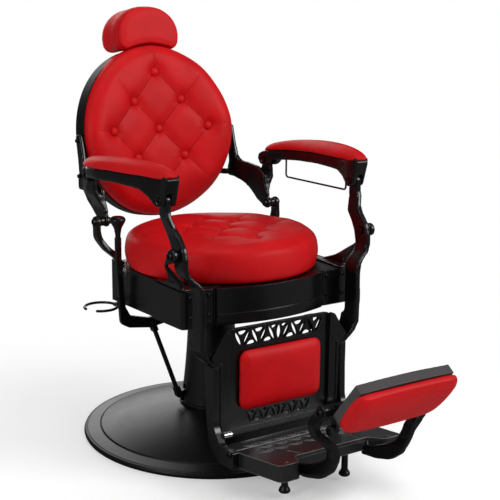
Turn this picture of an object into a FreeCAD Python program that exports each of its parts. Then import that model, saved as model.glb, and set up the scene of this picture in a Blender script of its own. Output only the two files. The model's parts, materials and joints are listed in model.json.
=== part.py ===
"""Hydraulic barber chair, in millimetres.

+Z is up and the sitter faces -Y, so the sitter's left is +X. The origin is on the floor,
under the middle of the base. Each piece is one named node, written to parts/.
"""
import FreeCAD, Part
import os
from math import atan2, cos, pi, radians, sin, sqrt, tan

Vector = FreeCAD.Vector
UP = Vector(0, 0, 1)
RIGHT = Vector(1, 0, 0)

# Clearances
soft_gap = 0.3          # between a cushion and what carries it
running_fit = 0.1       # radial, between a pin and the hole that turns on it
side_play = 0.3         # between two faces that slide past each other at a hinge
open_pin_play = 1.4     # radial, at the one pivot of the recline linkage that is left loose

# Base and lifting column
base_radius = 340.0
trim_width = 10.0
trim_height = 13.0
plate_thick = 8.0
cover_wall = 3.0
cone_radius = 88.0
cone_top = 76.0
groove_radius = 295.0
ram_radius = 30.0
ram_top = 360.0
ram_flange_radius = 62.0
ram_flange_thick = 12.0
sleeve_radius = 42.0
sleeve_bottom = 92.0
sleeve_cap = 7.0
ram_top_gap = 5.0
washer_thick = 3.0
hub_radius = 46.0
hub_length = 280.0
hub_plate_radius = 92.0
hub_plate_thick = 12.0
column_foot_radius = 84.0
column_neck_radius = 62.0
column_wall = 4.0
column_floor_gap = 1.2

# Seat frame
frame_top = 464.0
frame_front_bottom = 375.0
frame_rear_bottom = 364.0
frame_half_width = 245.0
frame_rear_half_width = 238.0
frame_step_y = -125.0
frame_front_y = -262.0
frame_rear_y = 112.0
frame_wall = 10.0
ledge_width = 14.0
ledge_depth = 18.0
apron_half_width = 155.0
apron_bow = 36.0
apron_bead_z = 399.0
pan_thick = 12.0
crossbeam_thick = 16.0
crossbeam_width = 64.0
post_foot_x = 229.5
post_foot_thick = 8.0

# Seat cushion
seat_centre_y = -46.0
seat_radius = 248.0
seat_foot_radius = 238.0
seat_height = 95.0
seat_shoulder = 32.0
seat_crown_drop = 8.0
seat_tuft_y = -70.0
seat_tuft_pitch_x = 68.0
seat_tuft_pitch_y = 63.0
seat_tuft_spread = 24.0
seat_tuft_depth = 10.0
button_radius = 9.0

# Recline linkage pivots, as (Y, Z)
front_pivot = (-286.0, 561.0)
rear_pivot = (107.0, 572.0)
arm_front_pin = (-240.0, 679.0)
arm_rear_pin = (135.0, 688.0)
pivot_pin_radius = 7.0
arm_pin_radius = 6.0
arm_pin_head = 8.0

# X stations of the linkage plates on the sitter's left; the right side mirrors them
front_ear_x = (279.0, 291.0)
lever_x = (256.0, 270.0)
tongue_x = (268.0, 282.0)
rear_ear_x = (271.0, 283.0)
bracket_x = (244.3, 256.0)
strap_x = (231.3, 243.0)
rear_tongue_x = (266.0, 278.0)
arm_nose_x = (252.0, 292.0)
arm_pin_span = (259.0, 289.0)

# Backrest, set out from the middle of its front face
back_lean = 7.8
back_face = (264.0, 777.0)
back_radius = 229.0
back_drop = 8.0
back_dish_radius = 610.0
back_pad_thick = 80.0
back_rim_set = 43.0
back_rim_wall = 5.0
back_rim_lip = 2.0
back_shell_thick = 8.0
back_edge_round = 24.0
crossbar_radius = 8.0
crossbar_end = (271.0, 641.0)
back_tuft_pitch_x = 74.0
back_tuft_pitch_up = 77.0
back_tuft_spread = 28.0
back_tuft_depth = 13.0

# Headrest, in the same set-out as the backrest
head_face_set = 20.0
head_thick = 113.0
head_half_width = 96.0
head_bottom = 221.0
head_arch = 15.0
head_top = 347.0
head_stem_width = 34.0
head_stem_thick = 8.0
head_stem_reach = 80.0

# Armrests
arm_height = 730.0

# Leg rest
post_x = (147.0, 196.0)
lever_foot = 290.0
panel_y = (-304.0, -296.0)
panel_top = 372.0
panel_bottom = 118.0
calf_pad_half = (119.0, 75.0)
calf_pad_z = 243.0
calf_pad_thick = 22.0
foot_bolt = (-388.0, 104.0)
footplate_rear_y = -330.0
footplate_front_y = -556.0
footplate_beam_y = -514.0
footplate_half_width = 180.0
footplate_slope = 8.1
footplate_ref = (-387.0, 109.0)
footplate_depth = 38.0
footplate_skin = 8.0
foot_place = (88.0, -455.0)
foot_bottom = 13.0

# Foot board that flips over on its two curled arms
board_pivot = (-654.0, 282.0)
board_edge = (-756.0, 352.0)
board_tilt = 53.0
board_half_width = 126.0
board_length = 118.0
board_thick = 23.0
board_back_reach = 23.0    # from the tray's drawn edge to its back, where the hinges sit
board_pad_half_width = 143.0
board_pad_thick = 24.0
knuckle_x = (132.3, 148.0)
bumper_radius = 13.0

# Pump lever and its rod, in the plane Y = pump_y
pump_y = 20.0
lever_pivot = (-134.0, 320.0)
rod_top = (-168.0, 312.0)
rod_bottom = (-89.0, 103.0)
rod_radius = 6.0


def corner_wire(points, radius, place):
    """Closed wire of straight runs whose corners are rounded by tangent arcs.

    points are (u, v) or (u, v, own radius), and place(u, v) puts a point in space.
    """
    edges = []
    ends = []
    count = len(points)
    for index, point in enumerate(points):
        own = point[2] if len(point) > 2 else radius
        here = Vector(point[0], point[1], 0)
        last = points[index - 1]
        following = points[(index + 1) % count]
        to_last = Vector(last[0], last[1], 0) - here
        to_next = Vector(following[0], following[1], 0) - here
        half = to_last.getAngle(to_next) / 2
        if own <= 0 or half > radians(89.5):
            ends.append((here, None, here))
            continue
        reach = min(own / tan(half), 0.49 * to_last.Length, 0.49 * to_next.Length)
        arc_radius = reach * tan(half)
        to_last.normalize()
        to_next.normalize()
        middle = to_last + to_next
        middle.normalize()
        middle = here + middle * (arc_radius / sin(half) - arc_radius)
        ends.append((here + to_last * reach, middle, here + to_next * reach))
    for index, (start, middle, end) in enumerate(ends):
        if middle is not None:
            arc = Part.Arc(place(start.x, start.y), place(middle.x, middle.y), place(end.x, end.y))
            edges.append(arc.toShape())
        following = ends[(index + 1) % count][0]
        if (following - end).Length > 1e-6:
            edges.append(Part.makeLine(place(end.x, end.y), place(following.x, following.y)))
    return Part.Wire(edges)


def arc_wire(start, runs, place):
    """Closed wire from start: a run (u, v) is a line, a run (mid u, mid v, u, v) is an arc."""
    edges = []
    here = start
    for run in list(runs) + [start]:
        end = run[-2:]
        if len(run) == 4:
            edges.append(Part.Arc(place(*here), place(*run[:2]), place(*end)).toShape())
        elif abs(end[0] - here[0]) + abs(end[1] - here[1]) > 1e-6:
            edges.append(Part.makeLine(place(*here), place(*end)))
        here = end
    return Part.Wire(edges)


def side_place(x):
    return lambda y, z: Vector(x, y, z)


def front_place(y):
    return lambda x, z: Vector(x, y, z)


def plan_place(z):
    return lambda x, y: Vector(x, y, z)


def side_plate(points, x_range, radius=0.0):
    """Plate with its outline in Y and Z, between two X stations."""
    low, high = x_range
    return Part.Face(corner_wire(points, radius, side_place(low))).extrude(RIGHT * (high - low))


def front_plate(points, y_range, radius=0.0):
    """Plate with its outline in X and Z, between two Y stations."""
    low, high = y_range
    return Part.Face(corner_wire(points, radius, front_place(low))).extrude(Vector(0, high - low, 0))


def flat_plate(points, z_range, radius=0.0):
    """Plate with its outline in X and Y, between two heights."""
    low, high = z_range
    return Part.Face(corner_wire(points, radius, plan_place(low))).extrude(UP * (high - low))


def block(x_range, y_range, z_range):
    size = (x_range[1] - x_range[0], y_range[1] - y_range[0], z_range[1] - z_range[0])
    return Part.makeBox(*size, Vector(x_range[0], y_range[0], z_range[0]))


def rod(start, end, radius):
    return Part.makeCylinder(radius, (end - start).Length, start, end - start)


def cross_pin(x_range, pivot, radius):
    """Round bar along X, centred on pivot (Y, Z)."""
    return rod(Vector(x_range[0], *pivot), Vector(x_range[1], *pivot), radius)


def turned(points, radius=0.0, base=Vector(0, 0, 0), axis=UP):
    """Solid of revolution of a closed (radius, height) outline, stood on base along axis."""
    face = Part.Face(corner_wire(points, radius, front_place(0.0)))
    solid = face.revolve(Vector(0, 0, 0), UP, 360)
    solid.Placement = FreeCAD.Placement(base, FreeCAD.Rotation(UP, axis))
    return solid


def button_head(base, axis, radius, height):
    """Round screw head with a hexagon socket, standing on base along axis."""
    outline = [(0, 0), (radius, 0), (radius, 0.45 * height), (0.72 * radius, height), (0, height)]
    head = turned(outline, 0.0, base, axis)
    across = 0.5 * radius
    corners = [Vector(across * cos(step * pi / 3), across * sin(step * pi / 3), 0.35 * height)
               for step in range(6)]
    socket = Part.Face(Part.makePolygon(corners + corners[:1])).extrude(UP * height)
    socket.Placement = FreeCAD.Placement(base, FreeCAD.Rotation(UP, axis))
    return head.cut(socket)


def mirrored(shape):
    return shape.mirror(Vector(0, 0, 0), RIGHT)


def fused(shapes):
    return shapes[0].fuse(shapes[1:]).removeSplitter()


def save(name, *solids):
    """Write one node, a single solid or a group of separate ones."""
    shape = solids[0] if len(solids) == 1 else Part.makeCompound(list(solids))
    shape.exportStep("parts/" + name + ".step")


def save_pair(name, shape):
    save(name + "_left", shape)
    save(name + "_right", mirrored(shape))


# Base: floor plate, edge trim, spun cover and the fixed ram

def base_plate():
    outline = [(0, 0), (base_radius - trim_width, 0), (base_radius - trim_width, plate_thick),
               (0, plate_thick)]
    return turned(outline)


def edge_trim():
    inner = base_radius - trim_width
    outline = [(inner, 0), (base_radius - 2, 0, 2), (base_radius, trim_height / 2, 4),
               (base_radius - 3, trim_height, 3), (inner, trim_height)]
    return turned(outline)


def base_cover():
    """Spun steel cone with a pressed groove near its rim."""
    rim = base_radius - trim_width
    start = (rim - 0.1, plate_thick)
    crown = 5.0
    middle = ((groove_radius + cone_radius) / 2, (22 + cone_top) / 2 + crown)
    outer = [(rim - 0.1, trim_height + 1), (groove_radius + 3, 19.5), (groove_radius + 1, 18.2),
             (groove_radius - 2, 22), (*middle, cone_radius, cone_top), (cone_radius - 4, cone_top + 0.2),
             (sleeve_radius + 8, cone_top + 0.2)]
    inner = [(sleeve_radius + 8, cone_top - cover_wall), (cone_radius - 2, cone_top - cover_wall),
             (middle[0] - 1, middle[1] - cover_wall, groove_radius - 3, 22 - cover_wall),
             (rim - 4, trim_height - 2), (rim - 4, plate_thick)]
    return Part.Face(arc_wire(start, outer + inner, front_place(0.0))).revolve(Vector(0, 0, 0), UP, 360)


def ram_bolt_places():
    reach = (ram_flange_radius + ram_radius) / 2
    return [(reach * cos(radians(45 + 90 * n)), reach * sin(radians(45 + 90 * n))) for n in range(4)]


def ram():
    """Fixed plunger that the lifting sleeve slides on."""
    flange = plate_thick + ram_flange_thick
    outline = [(0, plate_thick), (ram_flange_radius, plate_thick), (ram_flange_radius, flange),
               (ram_radius + 6, flange), (ram_radius, flange + 6), (ram_radius, ram_top - 4),
               (ram_radius - 4, ram_top), (0, ram_top)]
    return turned(outline)


def ram_bolts():
    flange = plate_thick + ram_flange_thick
    return [button_head(Vector(x, y, flange), UP, 8, 7) for x, y in ram_bolt_places()]


# Lifting sleeve and the column that turns on it

def sleeve_top():
    return ram_top + ram_top_gap + sleeve_cap


def lift_sleeve():
    bore = ram_radius + running_fit
    outline = [(bore, sleeve_bottom), (sleeve_radius, sleeve_bottom), (sleeve_radius, sleeve_top()),
               (0, sleeve_top()), (0, sleeve_top() - sleeve_cap), (bore, sleeve_top() - sleeve_cap)]
    return turned(outline)


def swivel_washer():
    outline = [(14, 0), (sleeve_radius - 4, 0), (sleeve_radius - 4, washer_thick), (14, washer_thick)]
    return turned(outline, 0.0, Vector(0, 0, sleeve_top()))


def hub_plate_bottom():
    return sleeve_top() + washer_thick + side_play


def swivel_hub():
    """Flanged bush that turns on the sleeve and carries the seat frame."""
    bottom = hub_plate_bottom()
    top = bottom + hub_plate_thick
    bore = sleeve_radius + running_fit
    outline = [(bore, bottom - hub_length), (hub_radius, bottom - hub_length), (hub_radius, bottom - 14),
               (hub_radius + 9, bottom), (hub_plate_radius, bottom), (hub_plate_radius, top), (0, top),
               (0, bottom), (bore, bottom)]
    return turned(outline)


def column_cover():
    """Tapered column shroud, slotted at the foot for the pump arm."""
    top = hub_plate_bottom() - 0.2
    foot = cone_top + 0.2 + column_floor_gap
    wall = column_wall
    start = (column_foot_radius, foot)
    runs = [(column_foot_radius, foot + 6), (column_foot_radius - 5, foot + 11),
            (68, 190, column_neck_radius, 290), (column_neck_radius, top),
            (column_neck_radius - wall, top), (column_neck_radius - wall, 290),
            (68 - wall, 190, column_foot_radius - 5 - wall, foot + 11),
            (column_foot_radius - wall - 5, foot)]
    shell = Part.Face(arc_wire(start, runs, front_place(0.0))).revolve(Vector(0, 0, 0), UP, 360)
    slot = block((-column_foot_radius - 8, -50), (pump_y - 11, pump_y + 11), (82, 128))
    return shell.cut(slot)


# Pump: hand lever, rod and rocker, an exact parallelogram about two pivots on the column

def rocker_pivot():
    return (rod_bottom[0] + lever_pivot[0] - rod_top[0], rod_bottom[1] + lever_pivot[1] - rod_top[1])


def at_pump(place, y=0.0):
    return Vector(place[0], pump_y + y, place[1])


def pump_body():
    """Pump block on the swivelling column, with the rocker's fork and the lever's hanger."""
    pivot = rocker_pivot()
    ring = turned([(hub_radius, 97), (hub_radius + 10, 97), (hub_radius + 10, 134), (hub_radius, 134)], 0.0)
    cheek = [(-hub_radius, 98), (pivot[0] - 9, 98, 5), (pivot[0] - 9, 124, 5), (-hub_radius, 124)]
    plate = front_plate(cheek, (pump_y - 10, pump_y - 5.3))
    other = front_plate(cheek, (pump_y + 5.3, pump_y + 10))
    clear = rod(Vector(0, 0, 90), Vector(0, 0, 140), hub_radius)
    pocket = rod(at_pump(pivot, -5.3), at_pump(pivot, 5.3), 10.5)
    body = fused([ring, plate, other]).cut([clear, pocket])
    return body.cut(rod(at_pump(pivot, -12), at_pump(pivot, 12), 4))


def pump_rocker():
    pivot = rocker_pivot()
    run = Vector(rod_bottom[0] - pivot[0], 0, rod_bottom[1] - pivot[1])
    run.normalize()
    inner = rod(at_pump(pivot, -5), at_pump(pivot, 5), 9)
    outer = rod(at_pump(rod_bottom, -5), at_pump(rod_bottom, 5), 9)
    side = Vector(-run.z, 0, run.x) * 7
    corners = [at_pump(pivot, -5) + side, at_pump(rod_bottom, -5) + side, at_pump(rod_bottom, -5) - side,
               at_pump(pivot, -5) - side]
    web = Part.Face(Part.makePolygon(corners + corners[:1])).extrude(Vector(0, 10, 0))
    arm = fused([inner, outer, web])
    arm = arm.cut(rod(at_pump(pivot, -6), at_pump(pivot, 6), 4 + running_fit))
    return arm.cut(rod(at_pump(rod_bottom, -6), at_pump(rod_bottom, 6), 4 + running_fit))


def rocker_pin():
    pivot = rocker_pivot()
    return rod(at_pump(pivot, -11.5), at_pump(pivot, 11.5), 4)


def pump_rod():
    """Round rod with a fork at each end: the rocker's above the base and the lever's under the seat."""
    low = at_pump(rod_bottom)
    high = at_pump(rod_top)
    run = high - low
    run.normalize()
    shaft = rod(low + run * 20, high - run * 22, rod_radius)
    forks = []
    for centre, inward in ((low, run), (high, run * -1)):
        for side in (-9.3, 5.3):
            eye = rod(centre + Vector(0, side, 0), centre + Vector(0, side + 4, 0), 8)
            across = Vector(-inward.z, 0, inward.x) * 7
            foot = centre + Vector(0, side, 0)
            corners = [foot + across, foot + across + inward * 24, foot - across + inward * 24,
                       foot - across]
            forks.append(eye)
            forks.append(Part.Face(Part.makePolygon(corners + corners[:1])).extrude(Vector(0, 4, 0)))
        across = Vector(-inward.z, 0, inward.x) * 7
        foot = centre + Vector(0, -9.3, 0) + inward * 14
        corners = [foot + across, foot + across + inward * 10, foot - across + inward * 10, foot - across]
        forks.append(Part.Face(Part.makePolygon(corners + corners[:1])).extrude(Vector(0, 18.6, 0)))
    pins = [rod(centre + Vector(0, -10.5, 0), centre + Vector(0, 10.5, 0), 4) for centre in (low, high)]
    return fused([shaft] + forks + pins)


def pump_lever():
    """Cranked hand lever: a bar under the seat frame, a tall tapered shank and a mushroom grip."""
    grip_x = -262.0
    waist = 7.0
    bar = [(lever_pivot[0] + 11, lever_pivot[1] - 11, 9), (lever_pivot[0] + 11, lever_pivot[1] + 11, 9),
           (rod_top[0] - 10, rod_top[1] + 16, 30), (-232, 341, 12), (-246, 366, 20),
           (grip_x + waist, 490, 90),
           (grip_x + waist, 545), (grip_x - waist, 545), (grip_x - waist, 490, 90), (-262, 366, 40),
           (-259, 322, 18), (-236, 310, 16), (rod_top[0] - 6, rod_top[1] - 11, 20)]
    blade = front_plate(bar, (pump_y - 5, pump_y + 5))
    foot = 520.0
    outline = [(0, 0), (waist - 1, 0), (waist, 34, 20), (10, 50, 20), (18, 64, 14), (20.5, 71, 6),
               (16, 78, 10), (0, 81)]
    grip = turned(outline, 0.0, Vector(grip_x, pump_y, foot))
    lever = fused([blade, grip])
    for place, radius in ((lever_pivot, 5), (rod_top, 4)):
        lever = lever.cut(rod(at_pump(place, -8), at_pump(place, 8), radius + running_fit))
    return lever


def lever_hanger():
    """Fork bolted under the swivel hub's plate: it holds the lever's pivot pin."""
    bottom = hub_plate_bottom()
    inner = -column_neck_radius - 3
    cheek = [(lever_pivot[0] - 10, lever_pivot[1] - 10, 8), (lever_pivot[0] + 12, lever_pivot[1] - 10, 8),
             (inner, bottom - 34, 6), (inner, bottom), (lever_pivot[0] - 2, bottom),
             (lever_pivot[0] - 10, bottom - 30, 20)]
    left = front_plate(cheek, (pump_y + 5.3, pump_y + 11))
    right = front_plate(cheek, (pump_y - 11, pump_y - 5.3))
    cap = block((lever_pivot[0] - 2, inner), (pump_y - 11, pump_y + 11), (bottom, bottom + hub_plate_thick))
    hub = rod(Vector(0, 0, bottom), Vector(0, 0, bottom + hub_plate_thick + 1), hub_plate_radius)
    pin = rod(at_pump(lever_pivot, -13), at_pump(lever_pivot, 13), 5)
    return fused([left, right, cap, pin]).cut(hub)


# Seat frame

def frame_bottom_cut():
    """Wedge that gives the frame its underside, lower at the back."""
    far = 900.0
    slope = (frame_rear_bottom - frame_front_bottom) / (frame_rear_y - frame_front_y)
    front = frame_front_bottom + slope * (-far - frame_front_y)
    rear = frame_front_bottom + slope * (far - frame_front_y)
    return side_plate([(-far, 200), (far, 200), (far, rear), (-far, front)], (-far, far))


def frame_outline():
    half = frame_half_width
    rear = frame_rear_half_width
    step = frame_step_y
    side = [(half, frame_front_y, 10), (half, step, 7), (rear, step + 5, 2), (rear, frame_rear_y, 12)]
    left = [(-x, y, r) for x, y, r in reversed(side)]
    return side + left


def apron(z_range, proud=0.0):
    """Bowed front panel between the two pods."""
    half = apron_half_width
    tip = frame_front_y - apron_bow - proud
    start = (-half, frame_front_y + 2)
    runs = [(-half, frame_front_y - 6 - proud), (0, tip, half, frame_front_y - 6 - proud),
            (half, frame_front_y + 2), (half, frame_front_y + 12), (-half, frame_front_y + 12)]
    face = Part.Face(arc_wire(start, runs, plan_place(z_range[0])))
    return face.extrude(UP * (z_range[1] - z_range[0]))


def seat_frame():
    """Cast ring: two boxed pods, a bowed apron with a bead, and a ledge for the seat pan."""
    low = 350.0
    outer = flat_plate(frame_outline(), (low, frame_top))
    body = outer.fuse(apron((low, frame_top)))
    side = frame_rear_half_width - frame_wall
    front = frame_front_y + frame_wall + 8
    rear = frame_rear_y - frame_wall
    well = [(-side, front), (side, front), (side, rear), (-side, rear)]
    body = body.cut(flat_plate(well, (frame_top - pan_thick, frame_top + 1), 18))
    inset = ledge_width
    throat = [(-side + inset, front + inset), (side - inset, front + inset), (side - inset, rear - inset),
              (-side + inset, rear - inset)]
    body = body.cut(flat_plate(throat, (low - 1, frame_top), 14))
    body = body.cut(flat_plate(well, (low - 1, frame_top - pan_thick - ledge_depth), 18))
    bead = apron((apron_bead_z - 4, apron_bead_z + 4), 3)
    body = body.fuse(bead.cut(flat_plate(frame_outline(), (low, frame_top))))
    for side_sign in (-1, 1):
        corner = side_sign * (apron_half_width + 2)
        body = body.cut(rod(Vector(corner, frame_front_y, low - 1),
                            Vector(corner, frame_front_y, frame_top + 1), 5))
        notch_x = side_sign * (frame_half_width - 3)
        body = body.cut(rod(Vector(notch_x, frame_step_y + 5, low - 1),
                            Vector(notch_x, frame_step_y + 5, 398), 6))
    body = body.cut(frame_bottom_cut())
    return body.removeSplitter()


def frame_bolts():
    """Socket screws on the pods' front faces and in the rear posts' feet."""
    heads = []
    for x in (-222.0, -172.0, 172.0, 222.0):
        for z in (402.0, 450.0):
            heads.append(button_head(Vector(x, frame_front_y, z), Vector(0, -1, 0), 5, 4))
    for side in (-1, 1):
        screw = Vector(side * post_foot_x, frame_rear_y - 8, frame_top + post_foot_thick)
        heads.append(button_head(screw, UP, 4.5, 4))
    return heads


def crossbeam():
    """Welded cross on top of the hub that carries the frame."""
    bottom = hub_plate_bottom() + hub_plate_thick
    top = bottom + crossbeam_thick
    half = crossbeam_width / 2
    side = frame_rear_half_width - frame_wall
    front = frame_front_y + frame_wall + 8
    rear = frame_rear_y - frame_wall
    cross = [(-half, front), (half, front), (half, -half, 20), (side, -half), (side, half),
             (half, half, 20),
             (half, rear), (-half, rear), (-half, half, 20), (-side, half), (-side, -half),
             (-half, -half, 20)]
    plate = flat_plate(cross, (bottom, top))
    ring = rod(Vector(0, 0, bottom), Vector(0, 0, top), hub_plate_radius - 8)
    body = plate.fuse(ring)
    for x, y in hub_bolt_places():
        body = body.cut(rod(Vector(x, y, bottom - 1), Vector(x, y, top + 1), 6))
    return body.removeSplitter()


def hub_bolt_places():
    reach = hub_plate_radius - 24
    return [(reach * cos(radians(45 + 90 * n)), reach * sin(radians(45 + 90 * n))) for n in range(4)]


def hub_bolts():
    top = hub_plate_bottom() + hub_plate_thick + crossbeam_thick
    bolts = []
    for x, y in hub_bolt_places():
        shank = rod(Vector(x, y, top - crossbeam_thick), Vector(x, y, top), 5.9)
        bolts.append(shank.fuse(button_head(Vector(x, y, top), UP, 9, 7)))
    return bolts


def seat_pan():
    side = frame_rear_half_width - frame_wall - 0.5
    front = frame_front_y + frame_wall + 8.5
    rear = frame_rear_y - frame_wall - 0.5
    outline = [(-side, front), (side, front), (side, rear), (-side, rear)]
    return flat_plate(outline, (frame_top - pan_thick, frame_top), 17.5)


# Seat cushion

def seat_profile():
    foot = frame_top + soft_gap
    top = foot + seat_height
    start = (0, foot)
    shoulder = seat_radius - seat_shoulder
    runs = [(seat_foot_radius, foot),
            (seat_radius, foot + 0.28 * seat_height, seat_radius - 2, foot + 0.56 * seat_height),
            (seat_radius - 9, top - 19, shoulder, top - seat_crown_drop),
            (shoulder / 2, top - seat_crown_drop / 4, 0, top)]
    return start, runs


def tuft_lattice(centre_u, centre_v, pitch_u, pitch_v):
    """Nine buttons in a diamond: 1, 2, 3, 2, 1."""
    places = []
    for row, columns in ((-2, (0,)), (-1, (-1, 1)), (0, (-2, 0, 2)), (1, (-1, 1)), (2, (0,))):
        for column in columns:
            places.append((centre_u + column * pitch_u, centre_v + row * pitch_v))
    return places


def seat_crown(x, y):
    """Height of the plain crown above a point, near enough for setting the buttons."""
    top = frame_top + soft_gap + seat_height
    spread = sqrt(x * x + (y - seat_centre_y) ** 2)
    return top - seat_crown_drop * (spread / (seat_radius - seat_shoulder)) ** 2


def seat_tufts():
    places = tuft_lattice(0, seat_tuft_y, seat_tuft_pitch_x, seat_tuft_pitch_y)
    return [(x, y, seat_crown(x, y)) for x, y in places]


def dimple(base, axis, spread, depth):
    """Cutter for one sewn tuft: a shallow bowl with a flat seat for the button, pointing along axis."""
    radius = (spread * spread + depth * depth) / (2 * depth)
    bowl = Part.makeSphere(radius, base + axis * (radius - depth))
    seat = rod(base - axis * (depth + 1.5), base, button_radius)
    return bowl.fuse(seat)


def seat_cushion():
    start, runs = seat_profile()
    pad = Part.Face(arc_wire(start, runs, front_place(0.0))).revolve(Vector(0, 0, 0), UP, 360)
    pad.translate(Vector(0, seat_centre_y, 0))
    for place in seat_tufts():
        pad = pad.cut(dimple(Vector(*place), UP, seat_tuft_spread, seat_tuft_depth))
    return pad


def cover_button(base, axis):
    """Fabric-covered button with a domed face."""
    radius = button_radius - soft_gap
    outline = [(0, 0), (radius, 0), (radius, 3, 2), (0, 6)]
    return turned(outline, 0.0, base, axis)


def seat_buttons():
    buttons = []
    for x, y, z in seat_tufts():
        buttons.append(cover_button(Vector(x, y, z - seat_tuft_depth - 1.5 + soft_gap), UP))
    return buttons


# Towers and posts that hold the recline linkage, on the sitter's left

def front_tower():
    """Triangular web on the frame's top edge that leans outwards to an ear outside the lever."""
    y, z = front_pivot
    foot = (231.0, 243.5)
    outline = [(-130, frame_top), (-252, frame_top), (-252, 505, 10), (-257, 534, 8), (y - 12, z - 12),
               (y - 14, z + 4),
               (y + 14, z + 6), (-250, 522, 40), (-214, 489, 50), (-166, 472, 40), (-130, frame_top + 7, 4)]
    lean = [(foot[0], frame_top), (foot[1], frame_top), (foot[1] + 2, 478, 30), (front_ear_x[1], 531, 30),
            (front_ear_x[1], 600), (front_ear_x[0], 600), (front_ear_x[0], 532, 30), (foot[0] + 3, 488, 30)]
    web = side_plate(outline, (200, 300)).fuse(cross_pin((200, 300), front_pivot, 16))
    web = web.common(front_plate(lean, (-340, -100)))
    spacer = cross_pin((lever_x[1] + side_play, front_ear_x[0] + 1), front_pivot, 12)
    flange = [(212, -258, 6), (foot[1] - 1, -258, 6), (foot[1] - 1, -130, 6), (222, -130, 6)]
    base = flat_plate(flange, (frame_top, frame_top + 5))
    tower = fused([web, spacer, base]).cut(seat_clearance(1.0))
    return tower.cut(cross_pin((200, 320), front_pivot, pivot_pin_radius))


def seat_clearance(gap):
    """Round form just wider than the cushion, to trim what stands beside it."""
    reach = seat_radius + gap
    outline = [(0, -1), (seat_foot_radius + 2, -1), (reach, 18), (reach, 120), (0, 120)]
    return turned(outline, 0.0, Vector(0, seat_centre_y, frame_top))


def rear_post():
    """Bowed post from a foot on the frame's top edge to the backrest's pivot outside its bracket."""
    y, z = rear_pivot
    inner = 226.0
    outer = frame_rear_half_width
    lean = [(inner, frame_top), (outer, frame_top), (outer + 2, 476, 20), (264, 498, 30),
            (rear_ear_x[1], 530, 40),
            (rear_ear_x[1], z + 20), (rear_ear_x[0], z + 20), (rear_ear_x[0], 536, 40), (252, 508, 30),
            (inner + 2, 486, 20)]
    side = [(60, frame_top), (84, frame_top), (97, 482, 30), (119, 520, 50), (y + 15, z), (y - 15, z),
            (88, 522, 50),
            (71, 486, 30)]
    outline = side_plate(side, (200, 300)).fuse(cross_pin((200, 300), rear_pivot, 15))
    post = front_plate(lean, (40, 160)).common(outline)
    rear = frame_rear_y - 1
    foot = flat_plate([(221, 60, 4), (outer, 60, 4), (outer, rear, 12), (221, rear, 4)],
                      (frame_top, frame_top + post_foot_thick))
    spacer = cross_pin((bracket_x[1] + side_play, rear_ear_x[0] + 1), rear_pivot, 12)
    post = fused([post, foot, spacer]).cut(seat_clearance(1.0))
    return post.cut(cross_pin((200, 320), rear_pivot, pivot_pin_radius))


def headed_pin(x_range, pivot, radius, head):
    """Pin along X with a domed head outside and a nut inside."""
    shank = cross_pin(x_range, pivot, radius)
    outer = button_head(Vector(x_range[1], *pivot), RIGHT, head, 5)
    inner = cross_pin((x_range[0] - 5, x_range[0]), pivot, head - 1)
    return fused([shank, outer, inner])


def front_pivot_pin():
    return headed_pin((lever_x[0] - side_play, front_ear_x[1]), front_pivot, pivot_pin_radius, 10)


def rear_pivot_pin():
    return headed_pin((bracket_x[0] - side_play, rear_ear_x[1]), rear_pivot, pivot_pin_radius, 10)


def dryer_ring():
    """Open wire ring for a hair dryer, on a strap under the right rear corner of the frame."""
    centre = Vector(-280.0, 85.0, 355.0)
    ring_radius = 42.0
    wire = 3.5
    half_gap = 26
    gap_heading = 204

    def spot(heading):
        return centre + Vector(cos(radians(heading)), sin(radians(heading)), 0) * ring_radius

    first = gap_heading + half_gap
    step = (360 - 2 * half_gap) / 4
    arcs = []
    for quarter in range(4):
        low = first + quarter * step
        arcs.append(Part.Arc(spot(low), spot(low + step / 2), spot(low + step)).toShape())
    start = spot(first)
    heading = radians(first)
    section = Part.Wire(Part.makeCircle(wire, start, Vector(-sin(heading), cos(heading), 0)))
    ring = Part.Wire(arcs).makePipeShell([section], True, False)
    tips = [Part.makeSphere(wire, start), Part.makeSphere(wire, spot(first + 4 * step))]
    inner = centre.x + ring_radius
    slope = (frame_front_bottom - frame_rear_bottom) / (frame_rear_y - frame_front_y)
    under = frame_rear_bottom + slope * (frame_rear_y - 93) - 0.1
    strap = block((inner - 4, inner + 20), (centre.y - 8, centre.y + 8), (centre.z - 4, centre.z + 4))
    foot = block((inner + 8, inner + 20), (centre.y - 8, centre.y + 8), (centre.z - 4, under))
    return fused([ring, strap, foot] + tips)


def side_stud():
    """Bright stud on a lug beside the cushion, on the sitter's right."""
    lug = block((-256, -frame_rear_half_width), (-8, 14), (frame_top - 12, frame_top - 2))
    stud = turned([(0, 0), (4, 0), (4, 22), (3, 24), (0, 24)], 0.0, Vector(-250, 3, frame_top - 2), UP)
    nut = rod(Vector(-250, 3, frame_top - 2), Vector(-250, 3, frame_top + 4), 6)
    return fused([lug, stud, nut])


# Backrest, modelled upright with its face at Y = 0 and then leant back and set in place

def set_back(shape):
    """Move a piece from the backrest's own set-out to its place on the chair."""
    lean = FreeCAD.Rotation(RIGHT, -back_lean)
    place = FreeCAD.Placement(Vector(0, *back_face), lean)
    moved = shape.copy()
    moved.Placement = place.multiply(shape.Placement)
    return moved


def dish(depth_range):
    """Curved slab between two depths behind the dished face."""
    near = back_dish_radius + depth_range[0]
    far = back_dish_radius + depth_range[1]
    low = Vector(0, -back_dish_radius, -400)
    high = Vector(0, -back_dish_radius, 400)
    return rod(low, high, far).cut(rod(low, high, near))


def back_outline(grow, y_range):
    """Round board grown outwards by grow."""
    low = Vector(0, y_range[0], -back_drop)
    return rod(low, low + Vector(0, y_range[1] - y_range[0], 0), back_radius + grow)


def back_depth():
    """Depth of the shell's rear face behind the dished front."""
    return back_pad_thick + soft_gap + back_shell_thick


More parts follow.
